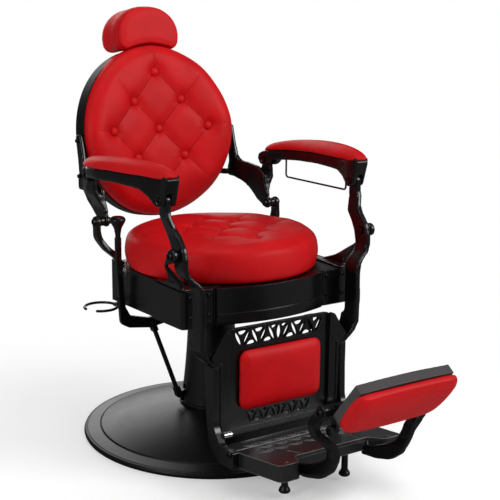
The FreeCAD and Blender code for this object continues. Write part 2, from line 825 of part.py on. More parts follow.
def back_tufts():
    places = []
    for x, z in tuft_lattice(0, 0, back_tuft_pitch_x, back_tuft_pitch_up):
        places.append((x, sqrt(back_dish_radius ** 2 - x * x) - back_dish_radius, z))
    return places


def back_cushion():
    """Dished round pad with a rolled edge and nine sewn tufts."""
    front = back_outline(0, (-140, 120)).common(dish((0, back_rim_set - soft_gap)))
    nested = back_outline(back_rim_lip - back_rim_wall - soft_gap,
                          (-140, 120)).common(dish((0, back_pad_thick)))
    pad = fused([front, nested])
    front_rim = [edge for edge in pad.Edges if edge_depth(edge) < 2.0]
    pad = pad.makeFillet(back_edge_round, front_rim)
    for place in back_tufts():
        pad = pad.cut(dimple(Vector(*place), Vector(0, -1, 0), back_tuft_spread, back_tuft_depth))
    return set_back(pad)


def edge_depth(edge):
    """How far behind the dished face the middle of an edge lies."""
    middle = edge.valueAt((edge.FirstParameter + edge.LastParameter) / 2)
    return sqrt(middle.x ** 2 + (middle.y + back_dish_radius) ** 2) - back_dish_radius


def back_buttons():
    buttons = []
    for x, y, z in back_tufts():
        button = cover_button(Vector(x, y + back_tuft_depth + 1.5 - soft_gap, z), Vector(0, -1, 0))
        buttons.append(set_back(button))
    return buttons


def back_shell():
    """Dished pan whose rim wraps the rear half of the pad."""
    outer = back_outline(back_rim_lip, (-140, 140))
    floor = outer.common(dish((back_pad_thick + soft_gap, back_depth())))
    rim = outer.cut(back_outline(back_rim_lip - back_rim_wall, (-141, 141)))
    rim = rim.common(dish((back_rim_set, back_depth())))
    return set_back(fused([floor, rim]))


def back_crossbar():
    """Tube from bracket to bracket that passes behind the shell and carries the spine bolted to it."""
    depth = back_depth() + 0.3
    spine = set_back(block((-30, 30), (depth, depth + 9), (-196, 64)))
    end_y, end_z = crossbar_end
    level = spine.common(block((-31, 31), (0, 600), (end_z - 1, end_z + 1)))
    rear_y = level.BoundBox.YMax + crossbar_radius - 3
    turn = Vector(strap_x[0] - 12, end_y, end_z)
    behind = Vector(194, rear_y, end_z)
    points = [Vector(strap_x[0], end_y, end_z), turn, behind, Vector(0, rear_y, end_z)]
    half = bent_wire(points, 12, crossbar_radius)
    return fused([half, mirrored(half), spine])


def back_bolts():
    """Screws through the spine into the shell, and through the side straps into its rim."""
    depth = back_depth() + 9.3
    bolts = [set_back(button_head(Vector(0, depth, z), Vector(0, 1, 0), 6, 5)) for z in (-180.0, -40.0, 6.0,
                                                                                         50.0)]
    for side in (-1, 1):
        for y, z in ((280.0, 757.0), (272.0, 664.0)):
            bolts.append(button_head(Vector(side * strap_x[1], y, z), RIGHT * side, 6, 5))
    return bolts


def back_bracket():
    """Side casting: pivot, a wing and strap that crank inwards to the shell, and the arm's tongue."""
    y, z = rear_pivot
    end_y, end_z = crossbar_end
    plate = [(y - 14, z + 2), (y - 7, z + 14), (112, 620, 20), (118, 650, 12), (150, 668, 20),
             (200, 673, 40),
             (238, 677, 30), (249, 712, 60), (267, 776, 8), (294, 770, 8), (281, 708, 60), (276, 668, 30),
             (end_y + 11, 658, 20), (end_y + 11, end_z - 13, 8), (250, end_z - 13, 20), (213, 616, 40),
             (176, 594, 40), (150, 575, 20), (y + 12, z - 10)]
    plan = [(bracket_x[0], 80), (bracket_x[1], 80), (bracket_x[1], 205, 60), (strap_x[1], 255, 60),
            (strap_x[1], 320),
            (strap_x[0], 320), (strap_x[0], 252, 60), (bracket_x[0], 198, 60)]
    side = side_plate(plate, (220, 270)).common(flat_plate(plan, (500, 800)))
    side = side.fuse(cross_pin(bracket_x, rear_pivot, 15))
    tongue = [(100, 596), (113, 622, 20), (117, 650, 20), (arm_rear_pin[0] - 14, arm_rear_pin[1]),
              (arm_rear_pin[0] + 14, arm_rear_pin[1]), (164, 660, 20), (168, 600)]
    crank = [(bracket_x[0], 590), (bracket_x[0], 612, 20), (rear_tongue_x[0], 648, 20),
             (rear_tongue_x[0], 720),
             (rear_tongue_x[1], 720), (rear_tongue_x[1], 640, 20), (bracket_x[1], 604, 20),
             (bracket_x[1], 590)]
    upper = side_plate(tongue, (230, 300)).fuse(cross_pin((230, 300), arm_rear_pin, 14))
    upper = upper.common(front_plate(crank, (80, 200)))
    bracket = fused([side, upper])
    bracket = bracket.cut(cross_pin((200, 320), rear_pivot, pivot_pin_radius + running_fit))
    return bracket.cut(cross_pin((262, 300), arm_rear_pin, arm_pin_radius))


def headrest_socket():
    """Guide for the headrest's stem on the back of the shell."""
    depth = back_depth() + 0.3
    body = block((-28, 28), (depth, depth + 22), (100, 196))
    slot_half = head_stem_width / 2 + 0.3
    slot = block((-slot_half, slot_half), (depth + 5.7, depth + 14.3), (90, 210))
    return set_back(body.cut(slot))


def headrest_knob():
    """Clamping knob behind the socket."""
    depth = back_depth() + 0.3 + 22
    outline = [(0, 0), (7, 0), (7, 6), (16, 8, 2), (16, 20, 3), (0, 22)]
    knob = turned(outline, 0.0, Vector(0, depth, 160), Vector(0, 1, 0))
    for step in range(6):
        heading = radians(60 * step)
        flute = rod(Vector(18.5 * cos(heading), depth + 5, 160 + 18.5 * sin(heading)),
                    Vector(18.5 * cos(heading), depth + 24, 160 + 18.5 * sin(heading)), 5)
        knob = knob.cut(flute)
    return set_back(knob)


def headrest_stem():
    depth = back_depth() + 0.3 + 6
    half = head_stem_width / 2
    stem = block((-half, half), (depth, depth + head_stem_thick), (70, head_bottom + head_stem_reach))
    return set_back(stem)


def head_section(depth, scale):
    """D-shaped outline of the headrest at one depth, drawn in towards its middle by scale."""
    middle = (head_bottom + head_top) / 2

    def at(x, z):
        return Vector(x * scale, depth, middle + (z - middle) * scale)

    half = head_half_width
    low = head_bottom
    edges = [Part.Arc(at(-half + 24, low), at(0, low + head_arch), at(half - 24, low)),
             Part.Arc(at(half - 24, low), at(half - 7, low + 8), at(half, low + 26)),
             Part.Arc(at(half, low + 26), at(half - 24, head_top - 24), at(0, head_top)),
             Part.Arc(at(0, head_top), at(-half + 24, head_top - 24), at(-half, low + 26)),
             Part.Arc(at(-half, low + 26), at(-half + 7, low + 8), at(-half + 24, low))]
    return Part.Wire([edge.toShape() for edge in edges])


def headrest_pad():
    """Boxed D-shaped pad with a slot up its rear for the stem."""
    near = head_face_set
    far = near + head_thick
    sections = [(near, 0.90), (near + 2.5, 0.95), (near + 9, 0.985), (near + 24, 1.0), (far - 24, 1.0),
                (far - 8, 0.97), (far, 0.90)]
    pad = Part.makeLoft([head_section(depth, scale) for depth, scale in sections], True, False)
    depth = back_depth() + 0.3 + 6
    half = head_stem_width / 2 + soft_gap
    slot = block((-half, half), (depth - soft_gap, depth + head_stem_thick + soft_gap),
                 (head_bottom - 20, head_bottom + head_stem_reach + soft_gap))
    return set_back(pad.cut(slot))


# Armrests on the sitter's left

def arm_top():
    """Points along the top of the arm casting, rear to front."""
    return [(158, 704, 5), (140, 713, 20), (45, arm_height - 7, 120), (-69, arm_height - 1, 200),
            (-180, arm_height + 1, 200), (-236, arm_height + 1, 30), (-268, arm_height + 12, 3)]


def arm_frame():
    """Bowed arm casting with a slotted clevis at each end for the linkage's tongues."""
    ay, az = arm_front_pin
    by, bz = arm_rear_pin
    under = [(-272, arm_height + 8, 4), (-260, 698, 40), (ay - 11, az - 14, 9), (ay + 14, az - 15, 8),
             (-200, 684, 14), (-168, 697, 40), (-68, 699, 200), (39, 695, 100), (by - 30, 690, 12),
             (by - 15, bz - 15, 8), (by + 14, bz - 15, 10), (162, 690, 8)]
    outer = [(arm_nose_x[0], -330), (arm_nose_x[1], -330), (arm_nose_x[1], -246, 60), (306, -178, 300),
             (317, -84, 300), (325, 20, 150), (316, 80, 80), (arm_nose_x[1] - 1, 132, 40), (290, 170)]
    inner = [(252, 170), (arm_nose_x[0] + 2, 124, 40), (276, 70, 80), (286, 14, 120), (279, -84, 300),
             (268, -178, 300), (arm_nose_x[0], -236, 50)]
    arm = side_plate(arm_top() + under, (230, 340)).common(flat_plate(outer + inner, (640, 780)))
    front_slot = [(-340, 600), (ay + 26, 600), (ay + 26, az + 6, 8), (ay + 8, az + 16, 8), (-340, az + 16)]
    rear_slot = [(by - 34, 600), (by + 60, 600), (by + 60, bz + 8), (by + 16, bz + 16, 8),
                 (by - 16, bz + 16, 10),
                 (by - 34, bz - 2)]
    arm = arm.cut(side_plate(front_slot, (tongue_x[0] - side_play, tongue_x[1] + side_play)))
    arm = arm.cut(side_plate(rear_slot, (rear_tongue_x[0] - side_play, rear_tongue_x[1] + side_play)))
    for pin, play in ((arm_front_pin, running_fit), (arm_rear_pin, open_pin_play)):
        arm = arm.cut(cross_pin((230, 340), pin, arm_pin_radius + play))
        arm = arm.cut(cross_pin((arm_pin_span[1] - side_play, 340), pin, arm_pin_head + 1 + play))
        arm = arm.cut(cross_pin((230, arm_pin_span[0] + side_play), pin, arm_pin_head + 1 + play))
    return arm


def arm_pad_section(y, middle, half, bottom, top):
    """Half-round section with a flat base, drawn in at its sides."""
    rise = top - bottom
    place = front_place(y)
    foot = half - min(3.0, 0.2 * half)
    shoulder = half - min(9.0, 0.3 * half)
    edges = [Part.makeLine(place(middle - foot, bottom), place(middle + foot, bottom)),
             Part.Arc(place(middle + foot, bottom), place(middle + half, bottom + 0.38 * rise),
                      place(middle + shoulder, bottom + 0.76 * rise)).toShape(),
             Part.Arc(place(middle + shoulder, bottom + 0.76 * rise), place(middle, top),
                      place(middle - shoulder, bottom + 0.76 * rise)).toShape(),
             Part.Arc(place(middle - shoulder, bottom + 0.76 * rise),
                      place(middle - half, bottom + 0.38 * rise),
                      place(middle - foot, bottom)).toShape()]
    return Part.Wire(edges)


def arm_pad():
    stations = [(149, 276, 9, 706, 718), (136, 279, 18, 708, 728), (106, 287, 26, 712, 738),
                (62, 299, 32, 717, 746),
                (0, 305, 35, 722, 753), (-84, 299, 36, 726, 759), (-170, 287, 35, 727, 760),
                (-226, 277, 28, 727, 757),
                (-250, 273, 20, 729, 752), (-259, 272, 12, 732, 746)]
    pad = Part.makeLoft([arm_pad_section(*station) for station in stations], True, False)
    top = [(point[0], point[1] + soft_gap) + point[2:] for point in arm_top()[:-1]]
    nose = arm_top()[-1]
    saddle = side_plate([(158, 600), *top, (nose[0] - 20, nose[1] + 8), (nose[0] - 20, 600)], (220, 350))
    return pad.cut(saddle)


def arm_pin(pivot):
    """Pin fixed in the linkage's tongue, its head and nut let into the arm's sides."""
    return headed_pin(arm_pin_span, pivot, arm_pin_radius, arm_pin_head)


def bent_wire(points, bend, radius):
    """Round wire along straight runs joined by tangent bends."""
    edges = []
    here = points[0]
    for index in range(1, len(points) - 1):
        corner = points[index]
        to_last = (points[index - 1] - corner)
        to_next = (points[index + 1] - corner)
        half = to_last.getAngle(to_next) / 2
        reach = bend / tan(half)
        to_last.normalize()
        to_next.normalize()
        middle = to_last + to_next
        middle.normalize()
        middle = corner + middle * (bend / sin(half) - bend)
        start = corner + to_last * reach
        end = corner + to_next * reach
        edges.append(Part.makeLine(here, start))
        edges.append(Part.Arc(start, middle, end).toShape())
        here = end
    edges.append(Part.makeLine(here, points[-1]))
    section = Part.Wire(Part.makeCircle(radius, points[0], points[1] - points[0]))
    return Part.Wire(edges).makePipeShell([section], True, False)


def towel_bar():
    """Wire loop under the left arm, its ends let into the casting."""
    rear = Vector(288, 72, 0)
    front = Vector(274, -203, 0)
    top = 702.0
    bottom = 648.0
    points = [rear + UP * top, rear + UP * (bottom - 2), front + UP * (bottom + 2), front + UP * (top - 4)]
    return bent_wire(points, 9, 2.5)


# Leg rest: levers, posts, pierced panel, calf pad and footplate

def side_lever():
    """Cranked side casting: the arm's tongue, the front pivot, and the leg down to the post."""
    ay, az = arm_front_pin
    middle = [(275, az + 20), (275, 640), (268, 620), (263, 602), (263, 528), (256, 511), (238, 496),
              (228, 484), (224, 462), (225, 338), (214, 314), (190, lever_foot)]
    half = (lever_x[1] - lever_x[0]) / 2
    outer = [(x + half, z, 18) for x, z in middle]
    inner = [(x - half, z, 18) for x, z in reversed(middle)]
    outer[0] = (275 + half, az + 20, 0)
    inner[-1] = (275 - half, az + 20, 0)
    outer[-1] = (post_x[1], lever_foot, 0)
    inner[0] = (post_x[1] - 16, lever_foot, 0)
    band = front_plate(outer + inner, (-360, -180))
    side = [(ay - 13, az + 4, 0), (ay + 13, az + 2, 0), (-221, 655, 20), (-223, 634, 20), (-231, 604, 20),
            (-248, 580, 16), (-260, 556, 20), (-272, 500, 40), (-279, 452, 40), (-278, 360, 16),
            (-262, 350, 10),
            (-262, 322, 10), (-279, 310, 8), (-279, lever_foot, 0), (-315, lever_foot, 0), (-321, 330, 30),
            (-324, 400, 60), (-322, 480, 60), (-312, 520, 20), (-311, 552, 20), (-304, 576, 16),
            (-289, 594, 20),
            (-266, 619, 30), (-254, 654, 30)]
    outline = side_plate(side, (160, 300)).fuse(cross_pin((160, 300), arm_front_pin, 13.5))
    outline = outline.fuse(cross_pin((160, 300), front_pivot, 19))
    lever = band.common(outline)
    lever = lever.cut(cross_pin((200, 320), front_pivot, pivot_pin_radius + running_fit))
    return lever.cut(cross_pin((262, 320), arm_front_pin, arm_pin_radius))


def leg_post():
    """One side post of the leg frame: a channel whose foot curves forward to the footplate."""
    y, z = foot_bolt
    flange = 16.0
    side = [(-279, lever_foot), (-281, 240, 40), (-288, 160, 60), (-300, 92, 46), (-340, 68, 40),
            (y - 14, 70, 5),
            (y - 14, z + 8, 5), (-352, z + 6, 20), (-318, 146, 44), (-315, 230, 40), (-315, lever_foot)]
    plate = side_plate(side, (post_x[1] - flange, post_x[1]))
    web = side_plate([(-312, 318), (-303, 318), (-303, panel_bottom - 10), (-312, panel_bottom - 10)],
                     (post_x[0], post_x[1] - flange + 1))
    gusset = front_plate([(post_x[0], 317), (post_x[0], panel_top - 2, 8), (160, panel_top - 2, 10),
                          (186, 328, 20),
                          (200, 312, 10), (182, lever_foot - 1), (182, lever_foot - 10)], (-314, -303))
    bead = side_plate([(-314.5, 296, 1), (-311, 296), (-311, 128), (-314.5, 128, 1)],
                      (post_x[0] + 22, post_x[0] + 26))
    return fused([plate, web, gusset, bead])


def post_bolt():
    shank = cross_pin((footplate_half_width - 20, post_x[1]), foot_bolt, 5)
    return shank.fuse(button_head(Vector(post_x[1], *foot_bolt), RIGHT, 9, 5))


def leaf(x, z, heading, length, bulges, reach):
    """Opening between two arcs that meet in points; bulges are their heights either side of the chord."""
    turn = radians(heading)

    def at(along, across):
        return Vector(x + along * cos(turn) - across * sin(turn), reach[0],
                      z + along * sin(turn) + across * cos(turn))

    half = length / 2
    first = Part.Arc(at(-half, 0), at(0, bulges[0]), at(half, 0)).toShape()
    second = Part.Arc(at(half, 0), at(0, bulges[1]), at(-half, 0)).toShape()
    return Part.Face(Part.Wire([first, second])).extrude(Vector(0, reach[1] - reach[0], 0))


def filigree_holes(z_low, z_high):
    """Openings of one pierced band: an oval, slanted leaves and half moons, alike on both sides."""
    middle = (z_low + z_high) / 2
    tall = z_high - z_low
    reach = (panel_y[0] - 2, panel_y[1] + 2)
    pitch = 0.50 * tall
    first = 0.44 * tall
    slant = 62.0
    moon_z = 0.36 * tall
    holes = [leaf(0, middle, 90, 0.84 * tall, (0.15 * tall, -0.15 * tall), reach)]
    for side in (-1, 1):
        for step in range(5):
            way = 1 if step % 2 == 0 else -1
            x = side * (first + step * pitch)
            heading = 90 - side * way * (90 - slant)
            holes.append(leaf(x, middle, heading, 0.92 * tall, (0.10 * tall, -0.10 * tall), reach))
            if step < 4:
                bulges = (0.20 * tall, -0.04 * tall) if way > 0 else (0.04 * tall, -0.20 * tall)
                holes.append(leaf(x + side * pitch / 2, middle - way * moon_z, 0, 0.54 * tall, bulges,
                                  reach))
        holes.append(leaf(side * 0.31 * tall, middle + moon_z, 0, 0.34 * tall, (0.04 * tall, -0.14 * tall),
                          reach))
    return holes


def leg_frame():
    """One casting: two posts and the panel between them, pierced above and below the calf pad."""
    half = post_x[0] + 1
    outline = [(-half, panel_bottom - 10), (half, panel_bottom - 10), (half, panel_top - 2),
               (half - 12, panel_top, 6),
               (-half + 12, panel_top, 6), (-half, panel_top - 2)]
    panel = front_plate(outline, panel_y)
    sill = block((-half, half), (panel_y[0] - 6, panel_y[0] + 1), (panel_bottom - 10, panel_bottom + 8))
    panel = panel.fuse(sill)
    cutters = filigree_holes(calf_pad_z + calf_pad_half[1] + 3, panel_top - 3)
    cutters += filigree_holes(panel_bottom + 11, calf_pad_z - calf_pad_half[1] - 3)
    post = leg_post()
    frame = fused([panel.cut(cutters), post, mirrored(post)])
    lever = side_lever()
    bore = cross_pin((-200, 200), foot_bolt, 5)
    return frame.cut([lever, mirrored(lever), bore])


def pad_section(half_u, half_v, corner, place):
    """Rounded rectangle about the origin, put in space by place(u, v)."""
    outline = [(-half_u, -half_v), (half_u, -half_v), (half_u, half_v), (-half_u, half_v)]
    return corner_wire(outline, corner, place)


def calf_pad():
    half_x, half_z = calf_pad_half
    front = panel_y[0] - soft_gap
    sections = [(0.0, 4, 20), (0.40, 0, 23), (0.75, 4, 23), (0.93, 16, 22), (1.0, 34, 20)]
    wires = []
    for share, inset, corner in sections:
        y = front - share * calf_pad_thick
        wires.append(pad_section(half_x - inset, half_z - inset, corner,
                                 lambda u, v, y=y: Vector(u, y, calf_pad_z + v)))
    return Part.makeLoft(wires, True, False)


def set_footplate(shape):
    """Tilt a piece drawn level at the reference height, about the footplate's reference line."""
    moved = shape.copy()
    moved.rotate(Vector(0, *footplate_ref), RIGHT, -footplate_slope)
    return moved


def footplate():
    """Tread with side rails, a set-back front beam and two rounded front tips."""
    top = footplate_ref[1]
    half = footplate_half_width
    rear = footplate_rear_y
    tip = footplate_front_y
    beam = footplate_beam_y
    notch = 105.0
    plan = [(-half, -420, 90), (-half, rear, 4), (half, rear, 4), (half, -420, 90), (half - 6, tip, 15),
            (notch + 18, tip, 14), (notch, beam, 12),
            (-notch, beam, 12), (-notch - 18, tip, 14), (-half + 6, tip, 15)]
    tread = flat_plate(plan, (top - footplate_skin, top))
    rail = [(half - 12, rear), (half, rear), (half, -420, 90), (half - 6, tip, 15), (notch + 18, tip, 14),
            (notch, beam, 12), (notch + 12, beam + 12),
            (half - 16, beam + 12)]
    rail = flat_plate(rail, (top - footplate_depth, top - 1))
    beam_bar = block((-notch - 1, notch + 1), (beam + 0.5, beam + 14), (top - 30, top - 1))
    lip = block((-half + 6, half - 6), (rear - 8, rear - 1), (top - 20, top - 1))
    plate = fused([tread, rail, mirrored(rail), beam_bar, lip])
    for sign in (-1, 1):
        slit = flat_plate([(sign * 90, -470, 1), (sign * 94, -470, 1), (sign * 84, -506, 1),
                           (sign * 80, -506, 1)],
                          (top - footplate_skin - 1, top + 1))
        plate = plate.cut(slit)
        hole = rod(Vector(sign * 146, tip + 14, top - 50), Vector(sign * 146, tip + 14, top + 5), 3)
        plate = plate.cut(hole)
    plate = plate.cut(tread_relief())
    plate = set_footplate(plate)
    return plate.cut(cross_pin((-200, 200), foot_bolt, 5))


def tread_relief():
    """Shallow grip grooves in rows of double scallops."""
    top = footplate_ref[1]
    pitch = 42.0
    depth = 1.4
    width = 2.4
    grooves = []
    for row in range(3):
        y = -366.0 - 0.78 * pitch * row
        count = 7 if row % 2 == 0 else 6
        for column in range(count):
            centre = Vector((column - (count - 1) / 2) * pitch, y, top - depth)
            front = block((centre.x - 30, centre.x + 30), (y - 30, y), (top - depth - 1, top + 4))
            for radius in (9.0, 17.0):
                ring = Part.makeCylinder(radius, 4,
                                         centre).cut(Part.makeCylinder(radius - width, 4, centre))
                grooves.append(ring.common(front))
    return grooves


def foot_pads():
    """Turned legs under the footplate's beam."""
    x, y = foot_place
    slope = tan(radians(footplate_slope))
    rise = (footplate_ref[0] - y - 11) * slope
    top = footplate_ref[1] + rise - footplate_skin / cos(radians(footplate_slope)) - 0.1
    low = foot_bottom
    outline = [(0, low), (11, low), (14, low + 3, 2), (13, low + 8, 3), (8, low + 16, 12), (7.5, top - 14),
               (11, top), (0, top)]
    return [turned(outline, 0.0, Vector(side * x, y, 0)) for side in (-1, 1)]


def stub_bars():
    """Short bright bars between the posts' feet and the tread."""
    bars = []
    for side in (-1, 1):
        x = side * (post_x[1] - 16)
        bars.append(rod(Vector(x, -336, 128), Vector(x - side * 22, -336, 128), 8))
    return bars


def lock_strap():
    """Flat strap with a star knob behind the top of the panel."""
    strap = side_plate([(-296, 340), (-291, 340), (-289, 371, 2), (-294, 371, 2)], (84, 108))
    outline = [(0, 0), (15, 0), (15, 9, 2), (0, 10)]
    knob = turned(outline, 0.0, Vector(96, panel_y[1], 346), Vector(0, 1, 0))
    for step in range(8):
        heading = radians(45 * step)
        spot = Vector(96 + 16.5 * cos(heading), panel_y[1] - 1, 346 + 16.5 * sin(heading))
        knob = knob.cut(rod(spot, spot + Vector(0, 14, 0), 3.4))
    return fused([strap, knob])


# Curled arms and the foot board that turns on them

def curl_arm():
    """S-shaped casting: out from the footplate's beam, round the bowl and up to the knuckle."""
    y, z = board_pivot
    side = [(footplate_beam_y + 8, 84), (-556, 91, 60), (-606, 106, 60), (-642, 134, 40), (-661, 172, 40),
            (-661, 208, 30),
            (-654, 236, 20), (-648, 254, 20), (y - 16, z - 2), (y + 16, z + 2), (-620, 264, 20),
            (-624, 240, 24), (-634, 214, 30),
            (-634, 186, 30), (-622, 160, 30), (-594, 142, 40), (-552, 122, 50), (footplate_beam_y + 8, 106)]
    outline = side_plate(side, (80, 170)).fuse(cross_pin((80, 170), board_pivot, 17))
    outer = [(107, 70), (105, 145, 40), (108, 172, 40), (116, 190, 20), (133, 207, 20), (156, 226, 16),
             (158, 250, 20),
             (knuckle_x[1], 270, 8), (knuckle_x[1], 310)]
    inner = [(knuckle_x[0], 310), (knuckle_x[0], 268, 8), (143, 250, 14), (141, 238, 14), (122, 222, 20),
             (102, 203, 20), (93, 176, 40),
             (91, 146, 40), (93, 70)]
    arm = outline.common(front_plate(outer + inner, (-700, -500))).cut(footplate())
    return arm.cut(cross_pin((100, 170), board_pivot, 6))


def set_board(shape):
    """Place a piece drawn with its face in the XY plane: +Y runs down the face and +Z is its back."""
    tilt = radians(board_tilt)
    down = Vector(0, cos(tilt), -sin(tilt))
    back = RIGHT.cross(down)
    face = Vector(0, *board_edge) + back * (board_back_reach - board_thick)
    place = FreeCAD.Placement(face, FreeCAD.Rotation(RIGHT, down, back, "XYZ"))
    moved = shape.copy()
    moved.Placement = place.multiply(shape.Placement)
    return moved


def foot_board():
    """Metal tray whose smooth back takes the shoes."""
    half = board_half_width
    start = (-half, 0)
    runs = [(0, -5, half, 0), (half + 5, board_length - 22),
            (half - 1, board_length - 5, half - 22, board_length),
            (-half + 22, board_length), (-half + 1, board_length - 5, -half - 5, board_length - 22)]
    face = Part.Face(arc_wire(start, runs, plan_place(0.0)))
    tray = face.extrude(UP * board_thick)
    rims = [edge for edge in tray.Edges if edge.BoundBox.ZMin > board_thick - 0.1]
    return set_board(tray.makeFillet(3, rims))


def board_pad_wire(inset, depth):
    """Outline of the board's pad, widest below the middle, drawn in all round by inset."""
    top = inset
    half = board_pad_half_width - inset
    upper = board_half_width + 2 - inset
    low = board_length + 12 - inset
    start = (-upper, top)
    runs = [(0, top - 4, upper, top), (half - 3, top + 14, half, 34 + 0.3 * inset), (half, 78),
            (half - 7, low - 18, half - 40, low - 4),
            (0, low, -half + 40, low - 4), (-half + 7, low - 18, -half, 78), (-half, 34 + 0.3 * inset),
            (-half + 3, top + 14, -upper, top)]
    return arc_wire(start, runs, plan_place(depth))


def board_pad():
    thick = board_pad_thick
    sections = [(3, 0.0), (0, 0.35), (4, 0.72), (16, 0.93), (32, 1.0)]
    wires = [board_pad_wire(inset, -soft_gap - share * thick) for inset, share in sections]
    return set_board(Part.makeLoft(wires, True, False))


def board_hinge():
    """Bracket on the tray's back: a barrel at the knuckle and a lug that carries the rubber stop."""
    y, z = board_pivot
    barrel = cross_pin((103, knuckle_x[0] - side_play), board_pivot, 15)
    stop = bumper_place()
    lug = [(y - 11, z), (y + 11, z), (stop[0] + 9, stop[1]), (stop[0] - 9, stop[1])]
    arm = side_plate(lug, (103, 111.5)).fuse(cross_pin((103, 111.5), stop, 9))
    foot = set_board(block((103, 127), (70, board_length - 6), (board_thick, board_thick + 9)))
    neck = set_board(block((103, 121), (board_length - 30, board_length - 4),
                           (board_thick, board_thick + 16)))
    stud = cross_pin((111, 122), stop, 4)
    head = button_head(Vector(121.8, *stop), RIGHT, 6, 4)
    bracket = fused([barrel, arm, foot, neck, stud, head])
    pin_hole = cross_pin((90, 140), board_pivot, 6 + running_fit)
    return bracket.cut(pin_hole)


def bumper_place():
    return (board_pivot[0] + 1, board_pivot[1] - 46)


def bumper():
    """Rubber disc on the stud."""
    outline = [(4, 0), (bumper_radius - 2, 0), (bumper_radius, 2, 1), (bumper_radius, 8, 1),
               (bumper_radius - 2, 10), (4, 10)]
    return turned(outline, 0.0, Vector(111.6, *bumper_place()), RIGHT)


def knuckle_pin():
    shank = cross_pin((104, knuckle_x[1]), board_pivot, 6)
    return shank.fuse(button_head(Vector(knuckle_x[1], *board_pivot), RIGHT, 10, 5))


def save_all():
    """Write every node."""
    save("base_plate", base_plate())
    save("edge_trim", edge_trim())
    save("base_cover", base_cover())
    save("ram", ram())
    save("ram_bolts", *ram_bolts())
    save("lift_sleeve", lift_sleeve())
    save("swivel_washer", swivel_washer())
    save("swivel_hub", swivel_hub())
    save("column_cover", column_cover())
    save("pump_body", pump_body())
    save("pump_rocker", pump_rocker())
    save("pump_rod", pump_rod())
    save("pump_lever", pump_lever())
    save("lever_hanger", lever_hanger())
    save("seat_frame", seat_frame())
    save("frame_bolts", *frame_bolts())
    save("crossbeam", crossbeam())
    save("hub_bolts", *hub_bolts())
    save("seat_pan", seat_pan())
    save("seat_cushion", seat_cushion())
    save("seat_buttons", *seat_buttons())
    save_pair("front_tower", front_tower())
    save_pair("rear_post", rear_post())
    pins = [front_pivot_pin(), rear_pivot_pin()]
    save("pivot_pins", rocker_pin(), *pins, *map(mirrored, pins))
    save("dryer_ring", dryer_ring())
    save("side_stud", side_stud())
    save("back_cushion", back_cushion())
    save("back_buttons", *back_buttons())
    save("back_shell", back_shell())
    save("back_crossbar", back_crossbar())
    save("back_bolts", *back_bolts())
    save_pair("back_bracket", back_bracket())
    save("headrest_socket", headrest_socket())
    save("headrest_knob", headrest_knob())
    save("headrest_stem", headrest_stem())
    save("headrest_pad", headrest_pad())
    arm = arm_frame()
    wire = towel_bar()
    save("arm_frame_left", arm.cut(wire))
    save("arm_frame_right", mirrored(arm))
    save("towel_bar", wire)
    save_pair("arm_pad", arm_pad())
    rear_pin = arm_pin(arm_rear_pin)
    save("arm_rear_pins", rear_pin, mirrored(rear_pin))
    save_pair("side_lever", side_lever())
    bolts = [arm_pin(arm_front_pin), post_bolt(), knuckle_pin()]
    save("leg_pins", *bolts, *map(mirrored, bolts))
    save("leg_frame", leg_frame())
    save("calf_pad", calf_pad())
    save("footplate", footplate())
    save("foot_pads", *foot_pads())
    save("stub_bars", *stub_bars())
    save("lock_strap", lock_strap())
    save_pair("curl_arm", curl_arm())
    save("foot_board", foot_board())
    save("board_pad", board_pad())
    hinge = board_hinge()
    save("board_hinges", hinge, mirrored(hinge))
    save("board_bumpers", bumper(), mirrored(bumper()))


os.makedirs("parts", exist_ok=True)
save_all()
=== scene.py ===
"""Blender scene of a reclining barber chair: upholstery, finishes, studio and camera."""

import json
import logging
import math
from dataclasses import dataclass
from enum import Enum
from typing import Sequence

import bpy
import numpy as np
from mathutils import Matrix, Vector


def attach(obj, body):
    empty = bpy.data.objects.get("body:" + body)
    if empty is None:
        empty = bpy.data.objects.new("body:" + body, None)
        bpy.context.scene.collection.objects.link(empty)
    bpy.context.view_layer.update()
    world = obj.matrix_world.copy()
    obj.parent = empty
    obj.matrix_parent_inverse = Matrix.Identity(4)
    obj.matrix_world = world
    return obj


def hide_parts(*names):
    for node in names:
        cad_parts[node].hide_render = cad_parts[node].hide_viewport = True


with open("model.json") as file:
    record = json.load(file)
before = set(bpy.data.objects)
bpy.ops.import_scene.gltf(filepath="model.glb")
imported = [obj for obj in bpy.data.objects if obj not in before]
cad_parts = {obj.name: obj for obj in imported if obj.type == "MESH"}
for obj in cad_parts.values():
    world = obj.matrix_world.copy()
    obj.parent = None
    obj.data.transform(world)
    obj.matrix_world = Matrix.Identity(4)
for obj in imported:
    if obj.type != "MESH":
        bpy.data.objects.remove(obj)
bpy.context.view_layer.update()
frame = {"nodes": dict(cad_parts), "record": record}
LOG = logging.getLogger("barber_chair")
MM = 0.001
MERGE_MM = 0.02             # corners of CAD triangles nearer than this are one point
TINY = 1e-9                 # stands in for a length of nothing in a division
SEAM_FIELD = "seam_near"    # 1 on a seam or fold, falling to 0 at SEAM_REACH_MM from it
SEAM_REACH_MM = 6.0
NOISE_LOW = 0.3             # a noise texture seldom leaves the span from low to high
NOISE_HIGH = 0.7


class Slot(Enum):
    """Material slots of the record that new pieces take their finish from."""

    VINYL = "red_vinyl"
    RUBBER = "black_rubber"
    ENAMEL = "base_enamel"
    BRIGHT = "bright_steel"
    DARK = "dark_steel"
    BRONZE = "bronze"
    CASTING = "black_casting"


class Body(Enum):
    """CAD bodies that new pieces ride on."""

    CHASSIS = "chassis"
    BACKREST = "backrest"
    HEADREST = "headrest"
    LEG_REST = "leg_rest"
    ARM_LEFT = "arm_left"
    ARM_RIGHT = "arm_right"
    FOOTBOARD = "footboard"


ARMS = (("left", Body.ARM_LEFT), ("right", Body.ARM_RIGHT))


